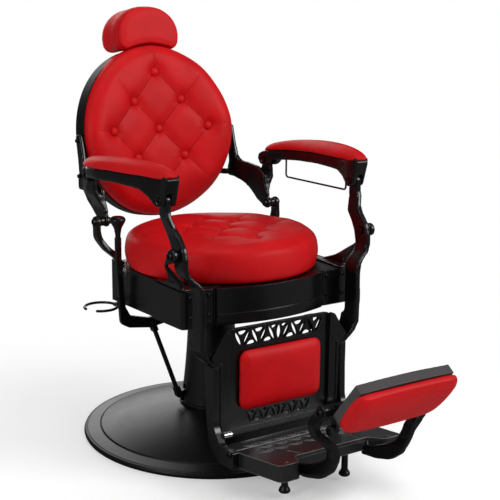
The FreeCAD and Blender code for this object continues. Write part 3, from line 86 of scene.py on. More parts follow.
def linear(code: str) -> tuple[float, float, float, float]:
    """Turn an sRGB hex colour into linear light.

    Args:
        code: Six hex digits, such as "b0161c".

    Returns:
        Red, green, blue and an alpha of one.
    """
    channels = [int(code[place:place + 2], 16) / 255 for place in (0, 2, 4)]
    light = [c / 12.92 if c <= 0.04045 else ((c + 0.055) / 1.055) ** 2.4 for c in channels]
    return light[0], light[1], light[2], 1.0


def add_node(tree: bpy.types.NodeTree, kind: str, inputs: dict | None = None,
             **settings: str | int | bool) -> bpy.types.Node:
    """Add a shader node with its settings, values and links.

    Args:
        tree: The node tree of a material or world.
        kind: Blender's name of the node type.
        inputs: Socket name or number to a value, or to an output socket to link from.
        **settings: Properties of the node itself.

    Returns:
        The new node.
    """
    made = tree.nodes.new(kind)
    for name, value in settings.items():
        setattr(made, name, value)
    for name, value in (inputs or {}).items():
        if isinstance(value, bpy.types.NodeSocket):
            tree.links.new(value, made.inputs[name])
        else:
            made.inputs[name].default_value = value
    return made


def empty_material(name: str) -> tuple[bpy.types.Material, bpy.types.NodeTree]:
    """Make a material whose node tree is cleared.

    Args:
        name: Name of the material.

    Returns:
        The material and its tree.
    """
    material = bpy.data.materials.new(name)
    material.use_nodes = True
    material.node_tree.nodes.clear()
    return material, material.node_tree


@dataclass(frozen=True)
class VinylLeathercloth:
    """Embossed PVC leathercloth over foam: a soft sheen, a hide grain, slow colour drift, dark thread on
    seams and painted shade in tuft folds.
    """

    body: str = "c70a12"
    deep: str = "b7070d"
    # dark line colour: thread on sewn seams, painted shade in the tuft folds
    thread_and_crease_shade: str = "5c0206"
    dark_line_cover: float = 0.85
    roughness: tuple[float, float] = (0.42, 0.52)
    specular: float = 0.15
    grain_mm: float = 1.5       # the real grain is about 1 mm: drawn coarser, so that it shows
    grain_depth_mm: float = 0.12
    drift_mm: float = 80.0
    slack_mm: float = 26.0
    slack_depth_mm: float = 1.2
    dark_line_half_mm: float = 1.7
    seam_depth_mm: float = 0.8

    def build(self) -> bpy.types.Material:
        """Build the material.

        Returns:
            The material.
        """
        material, tree = empty_material("red_vinyl_leathercloth")
        place = add_node(tree, "ShaderNodeTexCoord").outputs["Object"]
        drift = add_node(tree, "ShaderNodeTexNoise", {"Vector": place, "Scale": 1 / (self.drift_mm * MM),
                                                      "Detail": 3.0, "Roughness": 0.5})
        blend = add_node(tree, "ShaderNodeMapRange", {
            "Value": drift.outputs["Fac"], "From Min": NOISE_LOW, "From Max": NOISE_HIGH,
            "To Min": 0.0, "To Max": 1.0})
        skin = add_node(tree, "ShaderNodeMix", {0: blend.outputs["Result"], 6: linear(self.body),
                                                7: linear(self.deep)}, data_type="RGBA")
        seam_and_fold_nearness = add_node(tree, "ShaderNodeAttribute", attribute_name=SEAM_FIELD)
        seam_and_crease_line = add_node(tree, "ShaderNodeMapRange", {
            "Value": seam_and_fold_nearness.outputs["Fac"], "From Min": 1.0 - self.dark_line_half_mm / SEAM_REACH_MM,
            "From Max": 1.0, "To Min": 0.0, "To Max": self.dark_line_cover})
        # Paints the dark line: sewn thread along seams, painted shade along the tuft folds.
        colour = add_node(tree, "ShaderNodeMix", {0: seam_and_crease_line.outputs["Result"], 6: skin.outputs[2],
                                                  7: linear(self.thread_and_crease_shade)}, data_type="RGBA")
        pebble = add_node(tree, "ShaderNodeTexVoronoi", {"Vector": place, "Scale": 1 / (self.grain_mm * MM),
                                                         "Randomness": 0.9}, feature="SMOOTH_F1")
        sheen = add_node(tree, "ShaderNodeMapRange", {
            "Value": pebble.outputs["Distance"], "From Min": 0.0, "From Max": 0.7,
            "To Min": self.roughness[0], "To Max": self.roughness[1]})
        slack = add_node(tree, "ShaderNodeTexNoise", {"Vector": place, "Scale": 1 / (self.slack_mm * MM),
                                                      "Detail": 3.0, "Roughness": 0.5})
        soft = add_node(tree, "ShaderNodeBump", {"Height": slack.outputs["Fac"], "Strength": 0.12,
                                                 "Distance": self.slack_depth_mm * MM})
        crease = add_node(tree, "ShaderNodeBump", {
            "Height": seam_and_crease_line.outputs["Result"], "Strength": 0.6, "Distance": self.seam_depth_mm * MM,
            "Normal": soft.outputs["Normal"]}, invert=True)
        grain = add_node(tree, "ShaderNodeBump", {
            "Height": pebble.outputs["Distance"], "Strength": 0.22, "Distance": self.grain_depth_mm * MM,
            "Normal": crease.outputs["Normal"]})
        shader = add_node(tree, "ShaderNodeBsdfPrincipled", {
            "Base Color": colour.outputs[2], "Roughness": sheen.outputs["Result"], "IOR": 1.5,
            "Normal": grain.outputs["Normal"], "Specular IOR Level": self.specular})
        add_node(tree, "ShaderNodeOutputMaterial", {"Surface": shader.outputs["BSDF"]})
        return material


@dataclass(frozen=True)
class PowderCoat:
    """Satin black powder coat on a casting: orange peel, softly lit edges, and a lighter colour painted
    along them as a highlight.
    """

    name: str
    body: str = "080809"
    # the edge colour is a painted highlight along rounded edges
    edge: str = "2a2a2b"
    roughness: float = 0.26
    roughness_drift: float = 0.025
    peel_mm: float = 1.8
    peel_depth_mm: float = 0.03
    edge_mm: float = 1.6
    cloud_mm: float = 45.0
    edge_highlight_share: float = 0.7
    shine: float = 0.5

    def build(self) -> bpy.types.Material:
        """Build the material.

        Returns:
            The material.
        """
        material, tree = empty_material(self.name)
        place = add_node(tree, "ShaderNodeTexCoord").outputs["Object"]
        peel = add_node(tree, "ShaderNodeTexNoise", {"Vector": place, "Scale": 1 / (self.peel_mm * MM),
                                                     "Detail": 2.0, "Roughness": 0.5})
        cloud = add_node(tree, "ShaderNodeTexNoise", {"Vector": place, "Scale": 1 / (self.cloud_mm * MM),
                                                      "Detail": 3.0})
        rounded = add_node(tree, "ShaderNodeBevel", {"Radius": self.edge_mm * MM}, samples=4)
        relief = add_node(tree, "ShaderNodeBump", {"Height": peel.outputs["Fac"], "Strength": 0.3,
                                                   "Distance": self.peel_depth_mm * MM,
                                                   "Normal": rounded.outputs["Normal"]})
        facing = add_node(tree, "ShaderNodeNewGeometry")
        turn = add_node(tree, "ShaderNodeVectorMath", {0: rounded.outputs["Normal"],
                                                       1: facing.outputs["Normal"]}, operation="DOT_PRODUCT")
        # Paints a highlight: the edge colour takes over where the bevelled normal turns from the face's own.
        painted_edge_highlight = add_node(tree, "ShaderNodeMapRange", {"Value": turn.outputs["Value"], "From Min": 1.0,
                                                     "From Max": 0.8, "To Min": 0.0, "To Max": self.edge_highlight_share})
        colour = add_node(tree, "ShaderNodeMix", {0: painted_edge_highlight.outputs["Result"], 6: linear(self.body),
                                                  7: linear(self.edge)}, data_type="RGBA")
        gloss = add_node(tree, "ShaderNodeMapRange", {
            "Value": cloud.outputs["Fac"], "From Min": NOISE_LOW, "From Max": NOISE_HIGH,
            "To Min": self.roughness - self.roughness_drift,
            "To Max": self.roughness + self.roughness_drift})
        shader = add_node(tree, "ShaderNodeBsdfPrincipled", {
            "Base Color": colour.outputs[2], "Roughness": gloss.outputs["Result"], "IOR": 1.5,
            "Normal": relief.outputs["Normal"], "Specular IOR Level": self.shine})
        add_node(tree, "ShaderNodeOutputMaterial", {"Surface": shader.outputs["BSDF"]})
        return material


@dataclass(frozen=True)
class WorkedSteel:
    """Steel with fine turning or drawing marks: bright when plated, dark when blued."""

    name: str
    tint: str
    roughness: float
    polish: float = 0.05
    smear: float = 0.07
    smear_mm: float = 14.0
    mark_mm: float = 0.9        # real marks are finer: drawn coarser, so that they show
    mark_depth_mm: float = 0.03
    metallic: float = 1.0

    def build(self) -> bpy.types.Material:
        """Build the material.

        Returns:
            The material.
        """
        material, tree = empty_material(self.name)
        place = add_node(tree, "ShaderNodeTexCoord").outputs["Object"]
        marks = add_node(tree, "ShaderNodeTexNoise", {"Vector": place, "Scale": 1 / (self.mark_mm * MM),
                                                      "Detail": 2.0})
        smear = add_node(tree, "ShaderNodeTexNoise", {"Vector": place, "Scale": 1 / (self.smear_mm * MM),
                                                      "Detail": 3.0})
        rough = add_node(tree, "ShaderNodeMapRange", {
            "Value": smear.outputs["Fac"], "From Min": NOISE_LOW, "From Max": NOISE_HIGH,
            "To Min": self.roughness - self.polish, "To Max": self.roughness + self.smear})
        relief = add_node(tree, "ShaderNodeBump", {"Height": marks.outputs["Fac"], "Strength": 0.15,
                                                   "Distance": self.mark_depth_mm * MM})
        shader = add_node(tree, "ShaderNodeBsdfPrincipled", {
            "Base Color": linear(self.tint), "Metallic": self.metallic, "Roughness": rough.outputs["Result"],
            "Normal": relief.outputs["Normal"]})
        add_node(tree, "ShaderNodeOutputMaterial", {"Surface": shader.outputs["BSDF"]})
        return material


@dataclass(frozen=True)
class MouldedRubber:
    """Moulded black rubber: matt, with a dusty bloom in the hollows of its skin."""

    body: str = "111112"
    bloom: str = "2a2a2a"
    roughness: float = 0.62
    skin_mm: float = 3.0
    skin_depth_mm: float = 0.1

    def build(self) -> bpy.types.Material:
        """Build the material.

        Returns:
            The material.
        """
        material, tree = empty_material("moulded_rubber")
        place = add_node(tree, "ShaderNodeTexCoord").outputs["Object"]
        skin = add_node(tree, "ShaderNodeTexNoise", {"Vector": place, "Scale": 1 / (self.skin_mm * MM),
                                                     "Detail": 4.0})
        colour = add_node(tree, "ShaderNodeMix", {0: skin.outputs["Fac"], 6: linear(self.body),
                                                  7: linear(self.bloom)}, data_type="RGBA")
        relief = add_node(tree, "ShaderNodeBump", {"Height": skin.outputs["Fac"], "Strength": 0.4,
                                                   "Distance": self.skin_depth_mm * MM})
        shader = add_node(tree, "ShaderNodeBsdfPrincipled", {
            "Base Color": colour.outputs[2], "Roughness": self.roughness, "IOR": 1.5,
            "Normal": relief.outputs["Normal"]})
        add_node(tree, "ShaderNodeOutputMaterial", {"Surface": shader.outputs["BSDF"]})
        return material


class FinishBook:
    """All finishes of the chair, each built once."""

    def __init__(self) -> None:
        """Build every material."""
        self.by_slot: dict[Slot, bpy.types.Material] = {
            Slot.VINYL: VinylLeathercloth().build(),
            Slot.RUBBER: MouldedRubber().build(),
            Slot.ENAMEL: PowderCoat("satin_black_enamel", body="0a0a0b", roughness=0.36,
                                    peel_depth_mm=0.004, edge_mm=0.8).build(),
            Slot.BRIGHT: WorkedSteel("bright_plated_steel", "c9c9cc", 0.22).build(),
            Slot.DARK: WorkedSteel("blued_steel", "3a3a3d", 0.38).build(),
            Slot.BRONZE: WorkedSteel("turned_bronze", "a97c46", 0.35).build(),
            Slot.CASTING: PowderCoat("black_powder_coat").build(),
        }
        self.by_node: dict[str, bpy.types.Material] = {
            # the tread's light grey edge colour b4b4b6 is a painted highlight along its relief
            "footplate": PowderCoat("polished_tread_coat_painted_highlight", body="1c1c1d", edge="b4b4b6", roughness=0.30,
                                    edge_mm=2.6, shine=0.7).build(),
            "back_shell": PowderCoat("matt_shell_coat", roughness=0.46, shine=0.28).build(),
            "edge_trim": PowderCoat("rim_coat", roughness=0.44, shine=0.3).build(),
            # the board's light grey body and edge are a painted reflection of the light from above
            "foot_board": PowderCoat("board_coat_painted_sheen", body="454343", edge="5a5858",
                                     roughness=0.34).build(),
        }

    def dress(self, piece: bpy.types.Object, slot: Slot) -> None:
        """Give a piece one finish all over.

        Args:
            piece: A mesh object.
            slot: The record's slot that names the finish.
        """
        piece.data.materials.clear()
        piece.data.materials.append(self.by_slot[slot])

    def dress_frame(self) -> None:
        """Give every CAD node its own finish, or that of its slot."""
        slots = {entry["node"]: entry["material_slot"] for entry in frame["record"]["subparts"]}
        for name, piece in frame["nodes"].items():
            finish = self.by_node.get(name, self.by_slot[Slot(slots[name])])
            if not piece.material_slots:
                piece.data.materials.append(finish)
            for place in piece.material_slots:
                place.material = finish


def deselect() -> None:
    """Leave edit mode and clear the selection."""
    if bpy.context.object and bpy.context.object.mode != "OBJECT":
        bpy.ops.object.mode_set(mode="OBJECT")
    bpy.ops.object.select_all(action="DESELECT")


def activate(piece: bpy.types.Object) -> None:
    """Select one piece alone and make it active.

    Args:
        piece: The piece to work on.
    """
    deselect()
    piece.select_set(True)
    bpy.context.view_layer.objects.active = piece


def points_of(piece: bpy.types.Object) -> np.ndarray:
    """Read a piece's vertex positions.

    Args:
        piece: A mesh object.

    Returns:
        One row for each vertex.
    """
    flat = np.empty(len(piece.data.vertices) * 3)
    piece.data.vertices.foreach_get("co", flat)
    return flat.reshape(-1, 3)


def normals_of(piece: bpy.types.Object) -> np.ndarray:
    """Read a piece's vertex normals.

    Args:
        piece: A mesh object.

    Returns:
        One row for each vertex.
    """
    flat = np.empty(len(piece.data.vertices) * 3)
    piece.data.vertex_normals.foreach_get("vector", flat)
    return flat.reshape(-1, 3)


def set_points(piece: bpy.types.Object, places: np.ndarray) -> None:
    """Write vertex positions back.

    Args:
        piece: A mesh object.
        places: One row for each vertex.
    """
    piece.data.vertices.foreach_set("co", places.astype(np.float32).ravel())
    piece.data.update()


def copy_of_node(node: str, name: str) -> bpy.types.Object:
    """Copy a CAD node into a new object and join its loose triangles.

    Args:
        node: Name of the CAD node.
        name: Name of the copy.

    Returns:
        The copy, which is the active object.
    """
    piece = bpy.data.objects.new(name, frame["nodes"][node].data.copy())
    bpy.context.scene.collection.objects.link(piece)
    activate(piece)
    bpy.ops.object.mode_set(mode="EDIT")
    bpy.ops.mesh.select_all(action="SELECT")
    bpy.ops.mesh.remove_doubles(threshold=MERGE_MM * MM)
    bpy.ops.object.mode_set(mode="OBJECT")
    return piece


def apply_modifier(piece: bpy.types.Object, kind: str, **settings: str | float) -> None:
    """Give the active piece a modifier and apply it.

    Args:
        piece: The active piece.
        kind: Blender's name of the modifier type.
        **settings: Properties of the modifier.
    """
    modifier = piece.modifiers.new(kind.lower(), kind)
    for name, value in settings.items():
        setattr(modifier, name, value)
    bpy.ops.object.modifier_apply(modifier=modifier.name)


def even_out(piece: bpy.types.Object, cell_mm: float, rounds: int) -> None:
    """Remesh the active piece to even cells and soften its edges.

    Args:
        piece: The active piece.
        cell_mm: Size of the cells.
        rounds: How many times each point moves halfway to its neighbours' middle.
    """
    apply_modifier(piece, "REMESH", mode="VOXEL", voxel_size=cell_mm * MM)
    apply_modifier(piece, "SMOOTH", factor=0.5, iterations=rounds)


@dataclass(frozen=True)
class SetOut:
    """The working frame of a pad: its origin, its right, its up and the way its face looks."""

    origin: tuple[float, float, float]
    right: tuple[float, float, float] = (1.0, 0.0, 0.0)
    up: tuple[float, float, float] = (0.0, 1.0, 0.0)

    @property
    def axes(self) -> np.ndarray:
        """Rows are right, up and out."""
        right = np.array(self.right) / np.linalg.norm(self.right)
        up = np.array(self.up) / np.linalg.norm(self.up)
        return np.stack([right, up, np.cross(right, up)])

    def inside(self, places: np.ndarray) -> np.ndarray:
        """Give places in the working frame, in millimetres."""
        return (places - np.array(self.origin) * MM) @ self.axes.T / MM

    def outside(self, places: np.ndarray) -> np.ndarray:
        """Give working-frame places back in the chair's frame, in metres."""
        return places @ self.axes * MM + np.array(self.origin) * MM


def ramp(values: np.ndarray, start: float, width: float) -> np.ndarray:
    """Rise evenly from 0 at a start to 1 a width further on, and stay level outside.

    Args:
        values: Numbers to grade.
        start: Where the rise begins.
        width: How far it takes; where it is negative, the rise is towards lower numbers.

    Returns:
        A share from 0 to 1 for each number.
    """
    return np.clip((values - start) / width, 0.0, 1.0)


def segment_reach(places: np.ndarray, start: Sequence[float],
                  end: Sequence[float]) -> tuple[np.ndarray, np.ndarray]:
    """Measure how far places lie from a segment.

    Args:
        places: Rows of two or three numbers.
        start: First end of the segment.
        end: Last end of the segment.

    Returns:
        The distances, and how far along the segment the nearest spot is, from 0 to 1.
    """
    first = np.array(start, float)
    run = np.array(end, float) - first
    along = np.clip(((places - first) @ run) / float(run @ run), 0.0, 1.0)
    nearest = first + along[:, None] * run
    return np.linalg.norm(places - nearest, axis=1), along


def pull_to_arc(first: np.ndarray, second: np.ndarray, radius: float) -> tuple[np.ndarray, np.ndarray]:
    """Bring points beyond a quarter circle back onto it.

    Args:
        first: Distances from the circle's middle along one way.
        second: Distances along the other way.
        radius: The circle's radius.

    Returns:
        Both distances, changed only where both are positive and the point is outside.
    """
    reach = np.hypot(first, second)
    outside = (first > 0) & (second > 0) & (reach > radius)
    scale = np.where(outside, radius / np.maximum(reach, TINY), 1.0)
    return first * scale, second * scale


@dataclass
class Pad:
    """A foam pad under vinyl: a CAD pad remeshed, blown up by cloth simulation and finished."""

    node: str
    name: str
    body: Body
    set_out: SetOut
    voxel_mm: float = 5.0
    shrink_mm: float = 1.5      # how far the skin draws in before it is blown up
    pressure: float = 4.0
    cap_mm: float = 6.0         # the furthest that a point may swell
    fill: float = 0.7
    hold_out: float = -0.6      # skin that faces out less than this stays in place
    hold_width: float = 0.4
    soften_steps: int = 4
    settle_times: int = 3       # rounds of smoothing after the swelling, for each one before it
    frames: int = 12

    def build(self, book: FinishBook) -> bpy.types.Object:
        """Make the finished pad.

        Args:
            book: The chair's finishes.

        Returns:
            The pad, which rides on its body and replaces its CAD node.
        """
        piece = self.copy_form()
        self.blow_up(piece)
        activate(piece)
        apply_modifier(piece, "SUBSURF", levels=1, render_levels=1)
        self.shape(piece)
        activate(piece)
        bpy.ops.object.shade_smooth()
        book.dress(piece, Slot.VINYL)
        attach(piece, self.body.value)
        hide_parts(self.node)
        LOG.info("pad %s has %d faces", self.name, len(piece.data.polygons))
        return piece

    def copy_form(self) -> bpy.types.Object:
        """Copy the CAD pad and remesh it to even cells.

        Returns:
            The pad's plain form.
        """
        piece = copy_of_node(self.node, self.name)
        self.fill_in(piece)
        activate(piece)
        even_out(piece, self.voxel_mm, self.soften_steps)
        self.relevel(piece)
        return piece

    def fill_in(self, piece: bpy.types.Object) -> None:
        """Leave the copied form as it is; tufted pads close their dimples in here."""

    def relevel(self, piece: bpy.types.Object) -> None:
        """Leave the remeshed form as it is; tufted pads true up their face in here."""

    def blow_up(self, piece: bpy.types.Object) -> None:
        """Swell the pad by cloth pressure and cap how far each point may go.

        Args:
            piece: The remeshed pad.
        """
        start = points_of(piece)
        outward = normals_of(piece)
        set_points(piece, start - outward * self.shrink_mm * MM)
        activate(piece)
        cloth = piece.modifiers.new("foam", "CLOTH")
        cloth.settings.use_pressure = True
        cloth.settings.uniform_pressure_force = self.pressure
        cloth.settings.effector_weights.gravity = 0.0
        cloth.point_cache.frame_start = 1
        cloth.point_cache.frame_end = self.frames
        scene = bpy.context.scene
        for number in range(1, self.frames + 1):
            scene.frame_set(number)
        bpy.ops.object.modifier_apply(modifier=cloth.name)
        scene.frame_set(1)
        moved = points_of(piece) - start
        length = np.linalg.norm(moved, axis=1)
        scale = np.minimum(1.0, self.cap_mm * MM / np.maximum(length, TINY))
        free = ramp(outward @ self.set_out.axes[2], self.hold_out, self.hold_width)
        set_points(piece, start + moved * (scale * free)[:, None])
        activate(piece)
        apply_modifier(piece, "SMOOTH", factor=0.5, iterations=self.settle_times * self.soften_steps)

    def mark_seams(self, piece: bpy.types.Object, reach: np.ndarray) -> None:
        """Store nearness to seams and folds, for the dark line: thread on a seam, painted shade in a fold.

        Args:
            piece: The pad.
            reach: Distance of each vertex to its nearest seam, in millimetres.
        """
        layer = piece.data.attributes.new(SEAM_FIELD, "FLOAT", "POINT")
        layer.data.foreach_set("value", np.clip(1.0 - reach / SEAM_REACH_MM, 0.0, 1.0).astype(np.float32))

    def shape(self, piece: bpy.types.Object) -> None:
        """Leave the pad plain; each kind of pad works its own form in here."""


@dataclass(frozen=True)
class RimFold:
    """A fold from an outer button to the pad's rim; one off the middle line has a twin across it."""

    column: int
    row: int
    end: tuple[float, float]


@dataclass
class TuftedPad(Pad):
    """A pad with a diamond of sewn buttons, crisp folds between them and puffed panels."""

    pitch: tuple[float, float] = (70.0, 70.0)
    centre: tuple[float, float] = (0.0, 0.0)
    rim_folds: tuple[RimFold, ...] = ()
    dish_radius: float = 0.0
    dish_reach: float = 300.0
    crown: tuple[float, float, float] = (0.0, 1.0, 0.0)     # drop, the radius it is at, middle
    dimple: tuple[float, float] = (24.0, 10.0)              # radius and depth in the CAD pad
    plug_spare: tuple[float, float] = (1.0, 6.0)            # added to those to fill a dimple
    face_radius: float = 190.0
    level_mm: float = 3.5           # remeshed skin this near the plain face is brought onto it
    face_turn: tuple[float, float] = (0.15, 0.5)            # how far out skin faces to be sewn
    crease_mm: float = 1.5
    crease_width_mm: float = 1.8
    valley_mm: float = 3.0
    valley_width_mm: float = 12.0
    halfway: float = 0.6            # a fold's depth halfway along it, as a share
    rim_share: float = 0.3
    rim_width_mm: float = 7.0
    rim_puff_mm: float = 40.0       # how much further from its fold the skin counts at the rim
    rim_line: float = 1.1           # the same for the fold's dark line of painted shade
    pit_mm: float = 9.5
    pit_width_mm: float = 18.0
    pit_floor_mm: float = 5.0
    pit_slope: tuple[float, float] = (1.35, 2.2)            # steepness and power of the pit's wall
    pit_reach_mm: float = 45.0
    pucker: tuple[float, int, float, float] = (0.35, 10, 16.0, 6.0)     # height, count, ring, width
    puff_mm: float = 3.0
    puff_width_mm: float = 20.0
    puff_fade: tuple[float, float] = (45.0, 40.0)           # where a puff starts to fade, and how softly
    shared: float = 0.25            # how much a fold and a pit deepen each other
    edge_fade_mm: float = 4.0
    fore: tuple[float, float] = (-46.0, 16.0)               # skin in front of this level leans and rolls
    brow: tuple[float, float, float] = (0.0, 0.0, 1.0)      # rise, and where it starts and ends
    roll: tuple[float, float, float] = (150.0, 229.0, 0.0)  # inner and outer radius, and drop

    def steps(self) -> list[tuple[int, int]]:
        """Return each button's column and row from the middle, in rows of 1, 2, 3, 2 and 1."""
        return [(column, row) for row in range(-2, 3) for column in range(abs(row) - 2, 3 - abs(row), 2)]

    def place_of(self, column: int, row: int) -> tuple[float, float]:
        """Return the place of the button at a column and row."""
        return self.centre[0] + column * self.pitch[0], self.centre[1] + row * self.pitch[1]

    def buttons(self) -> list[tuple[float, float]]:
        """Return the nine button places."""
        return [self.place_of(*step) for step in self.steps()]

    def folds(self) -> list[tuple[tuple[float, float], tuple[float, float]]]:
        """Find the folds between buttons that are one column and one row apart.

        Returns:
            Both ends of each fold.
        """
        steps = self.steps()
        pairs = []
        for index, first in enumerate(steps):
            for second in steps[index + 1:]:
                if abs(second[0] - first[0]) == 1 and abs(second[1] - first[1]) == 1:
                    pairs.append((self.place_of(*first), self.place_of(*second)))
        return pairs

    def rays(self) -> list[tuple[tuple[float, float], tuple[float, float]]]:
        """Find the folds that run out to the rim, on both sides of the middle line.

        Returns:
            The button's place and the outer end of each fold.
        """
        pairs = []
        for fold in self.rim_folds:
            for side in (1, -1) if fold.column else (1,):
                start = self.place_of(side * fold.column, fold.row)
                pairs.append((start, (side * fold.end[0], fold.end[1])))
        return pairs

    def level(self, across: np.ndarray, up: np.ndarray) -> np.ndarray:
        """Give the height of the plain face, dished across or crowned about its middle.

        Args:
            across: Places along the working frame's right.
            up: Places along its up.

        Returns:
            Heights along its out.
        """
        drop, at_radius, middle = self.crown
        height = -drop * (np.hypot(across, up - middle) / at_radius) ** 2
        if self.dish_radius:
            reach = np.minimum(np.abs(across), self.dish_reach)
            height = height + self.dish_radius - np.sqrt(self.dish_radius ** 2 - reach ** 2)
        return height

    def height_at(self, across: float, up: float) -> float:
        """Return the height of the plain face at one place."""
        return float(self.level(np.array([across]), np.array([up]))[0])

    def fill_in(self, piece: bpy.types.Object) -> None:
        """Plug the CAD pad's dimples, so that the remesh gives a plain face.

        Args:
            piece: The copied pad.
        """
        radius, depth = (size + spare for size, spare in zip(self.dimple, self.plug_spare))
        axes = Matrix(self.set_out.axes.tolist()).transposed()
        plugs = [piece]
        for across, up in self.buttons():
            tilt = math.asin(across / self.dish_radius) if self.dish_radius else 0.0
            turn = axes @ Matrix.Rotation(-tilt, 3, "Y")
            spot = self.set_out.outside(np.array([[across, up, self.height_at(across, up)]]))[0]
            deck = turn @ Vector((0, 0, 1))
            deselect()
            bpy.ops.mesh.primitive_cylinder_add(vertices=48, radius=radius * MM, depth=depth * MM,
                                                location=Vector(spot) - deck * depth / 2 * MM,
                                                rotation=turn.to_euler())
            plugs.append(bpy.context.object)
        deselect()
        for part in plugs:
            part.select_set(True)
        bpy.context.view_layer.objects.active = piece
        bpy.ops.object.join()

    def relevel(self, piece: bpy.types.Object) -> None:
        """Put every point of the face exactly on its plain form.

        Args:
            piece: The remeshed pad.
        """
        local = self.set_out.inside(points_of(piece))
        height = self.level(local[:, 0], local[:, 1])
        inner = np.hypot(local[:, 0], local[:, 1] - self.crown[2]) < self.face_radius
        near = inner & (np.abs(local[:, 2] - height) < self.level_mm)
        local[near, 2] = height[near]
        set_points(piece, self.set_out.outside(local))

    def fold_depth(self, reach: np.ndarray, valley_mm: float, width_mm: float) -> np.ndarray:
        """Give a fold's section: a sharp crease at the bottom of a soft valley.

        Args:
            reach: Distances from the fold.
            valley_mm: Depth of the valley.
            width_mm: Half its width.

        Returns:
            Depths.
        """
        valley = valley_mm * np.exp(-(reach / width_mm) ** 2)
        return self.crease_mm * np.exp(-reach / self.crease_width_mm) + valley

    def fold_relief(self, flat: np.ndarray) -> tuple[np.ndarray, np.ndarray, np.ndarray]:
        """Lay the folds over the face.

        Args:
            flat: Places across and up the face.

        Returns:
            The folds' depth, the distance that governs the panels' puff, and that to the nearest line.
        """
        depth = np.zeros(len(flat))
        near_fold = np.full(len(flat), np.inf)
        near_line = np.full(len(flat), np.inf)
        for start, end in self.folds():
            reach, along = segment_reach(flat, start, end)
            slack = self.halfway + (1 - self.halfway) * np.abs(2 * along - 1) ** 1.5
            depth = np.maximum(depth, self.fold_depth(reach, self.valley_mm, self.valley_width_mm) * slack)
            near_fold = np.minimum(near_fold, reach)
            near_line = np.minimum(near_line, reach)
        for start, end in self.rays():
            reach, along = segment_reach(flat, start, end)
            section = self.fold_depth(reach, self.rim_share * self.valley_mm, self.rim_width_mm)
            depth = np.maximum(depth, section * (1 - along) ** 0.8)
            near_fold = np.minimum(near_fold, reach + self.rim_puff_mm * along)
            near_line = np.minimum(near_line, reach + self.rim_line * along)
        return depth, near_fold, near_line

    def pit_relief(self, flat: np.ndarray) -> np.ndarray:
        """Lay the buttons' pits over the face, with the puckers round each.

        Args:
            flat: Places across and up the face.

        Returns:
            The pits' depth.
        """
        pit = np.zeros(len(flat))
        height, count, ring, width = self.pucker
        steep, power = self.pit_slope
        for spot in self.buttons():
            offset = flat - np.array(spot)
            reach = np.linalg.norm(offset, axis=1)
            heading = np.arctan2(offset[:, 1], offset[:, 0])
            pucker = height * np.sin(heading * count + spot[0]) * np.exp(-((reach - ring) / width) ** 2)
            beyond = np.maximum(reach - self.pit_floor_mm, 0) / self.pit_width_mm * steep
            bowl = self.pit_mm / (1 + beyond ** power)
            pit = np.maximum(pit, bowl * np.exp(-(reach / self.pit_reach_mm) ** 4) + pucker)
        return pit

    def shape(self, piece: bpy.types.Object) -> None:
        """Sink the folds and pits and puff the panels between them.

        Args:
            piece: The refined pad.
        """
        places = points_of(piece)
        outward = normals_of(piece)
        flat = self.set_out.inside(places)[:, :2]
        mask = ramp(outward @ self.set_out.axes[2], *self.face_turn)
        mask = mask * mask * (3 - 2 * mask)
        depth, near_fold, near_line = self.fold_relief(flat)
        pit = self.pit_relief(flat)
        swell = 1 - np.exp(-(near_fold / self.puff_width_mm) ** 2)
        end, softness = self.puff_fade
        puff = self.puff_mm * swell * np.exp(-(np.clip(near_fold - end, 0, None) / softness) ** 2)
        sunk = np.maximum(depth, pit)
        shift = (puff - sunk - self.shared * np.minimum(depth, pit)) * mask * MM
        set_points(piece, places + outward * shift[:, None])
        self.lean(piece)
        # Every dark line of a tufted pad lies in a fold, where it is painted shade.
        self.mark_seams(piece, near_line + self.edge_fade_mm * (1 - mask))

    def lean(self, piece: bpy.types.Object) -> None:
        """Draw the brow up and roll the rim back, in the front skin only.

        Args:
            piece: The tufted pad.
        """
        local = self.set_out.inside(points_of(piece))
        rise, start, end = self.brow
        inner, outer, drop = self.roll
        fore = ramp(local[:, 2], *self.fore)
        centre = np.hypot(local[:, 0], local[:, 1] - self.crown[2])
        local[:, 1] += rise * fore * ramp(local[:, 1], start, end - start) ** 2
        local[:, 2] -= drop * fore * ramp(centre, inner, outer - inner) ** 2
        set_points(piece, self.set_out.outside(local))


@dataclass
class SeamedPad(Pad):
    """A boxed pad whose face and back panels are sewn to a side panel, round two levels of its depth."""

    seam_levels: tuple[float, ...] = ()
    seam_mm: float = 1.6
    seam_width_mm: float = 2.6
    swell_mm: float = 2.0
    swell_width_mm: float = 14.0
    side_turn: tuple[float, float] = (0.97, -0.2)       # skin that faces straight out or back isn't sewn
    edge_fade_mm: float = 8.0
    settle_mm: tuple[float, float] = (0.0, 0.0)         # how far the bottom and the top sink
    span: tuple[float, float] = (0.0, 1.0)              # where the bottom and the top are

    def shape(self, piece: bpy.types.Object) -> None:
        """Draw the skin in along each seam and swell the panels between them.

        Args:
            piece: The refined pad.
        """
        places = points_of(piece)
        outward = normals_of(piece)
        level = self.set_out.inside(places)[:, 2]
        reach = np.min([np.abs(level - seam) for seam in self.seam_levels], axis=0)
        edge = ramp(np.abs(outward @ self.set_out.axes[2]), *self.side_turn)
        swell = self.swell_mm * (1 - np.exp(-(reach / self.swell_width_mm) ** 2))
        shift = swell - self.seam_mm * np.exp(-reach / self.seam_width_mm)
        set_points(piece, places + outward * (shift * edge)[:, None] * MM)
        local = self.set_out.inside(points_of(piece))
        share = ramp(local[:, 1], self.span[0], self.span[1] - self.span[0])
        local[:, 1] -= self.settle_mm[0] + (self.settle_mm[1] - self.settle_mm[0]) * share
        set_points(piece, self.set_out.outside(local))
        self.mark_seams(piece, reach + self.edge_fade_mm * (1 - edge))


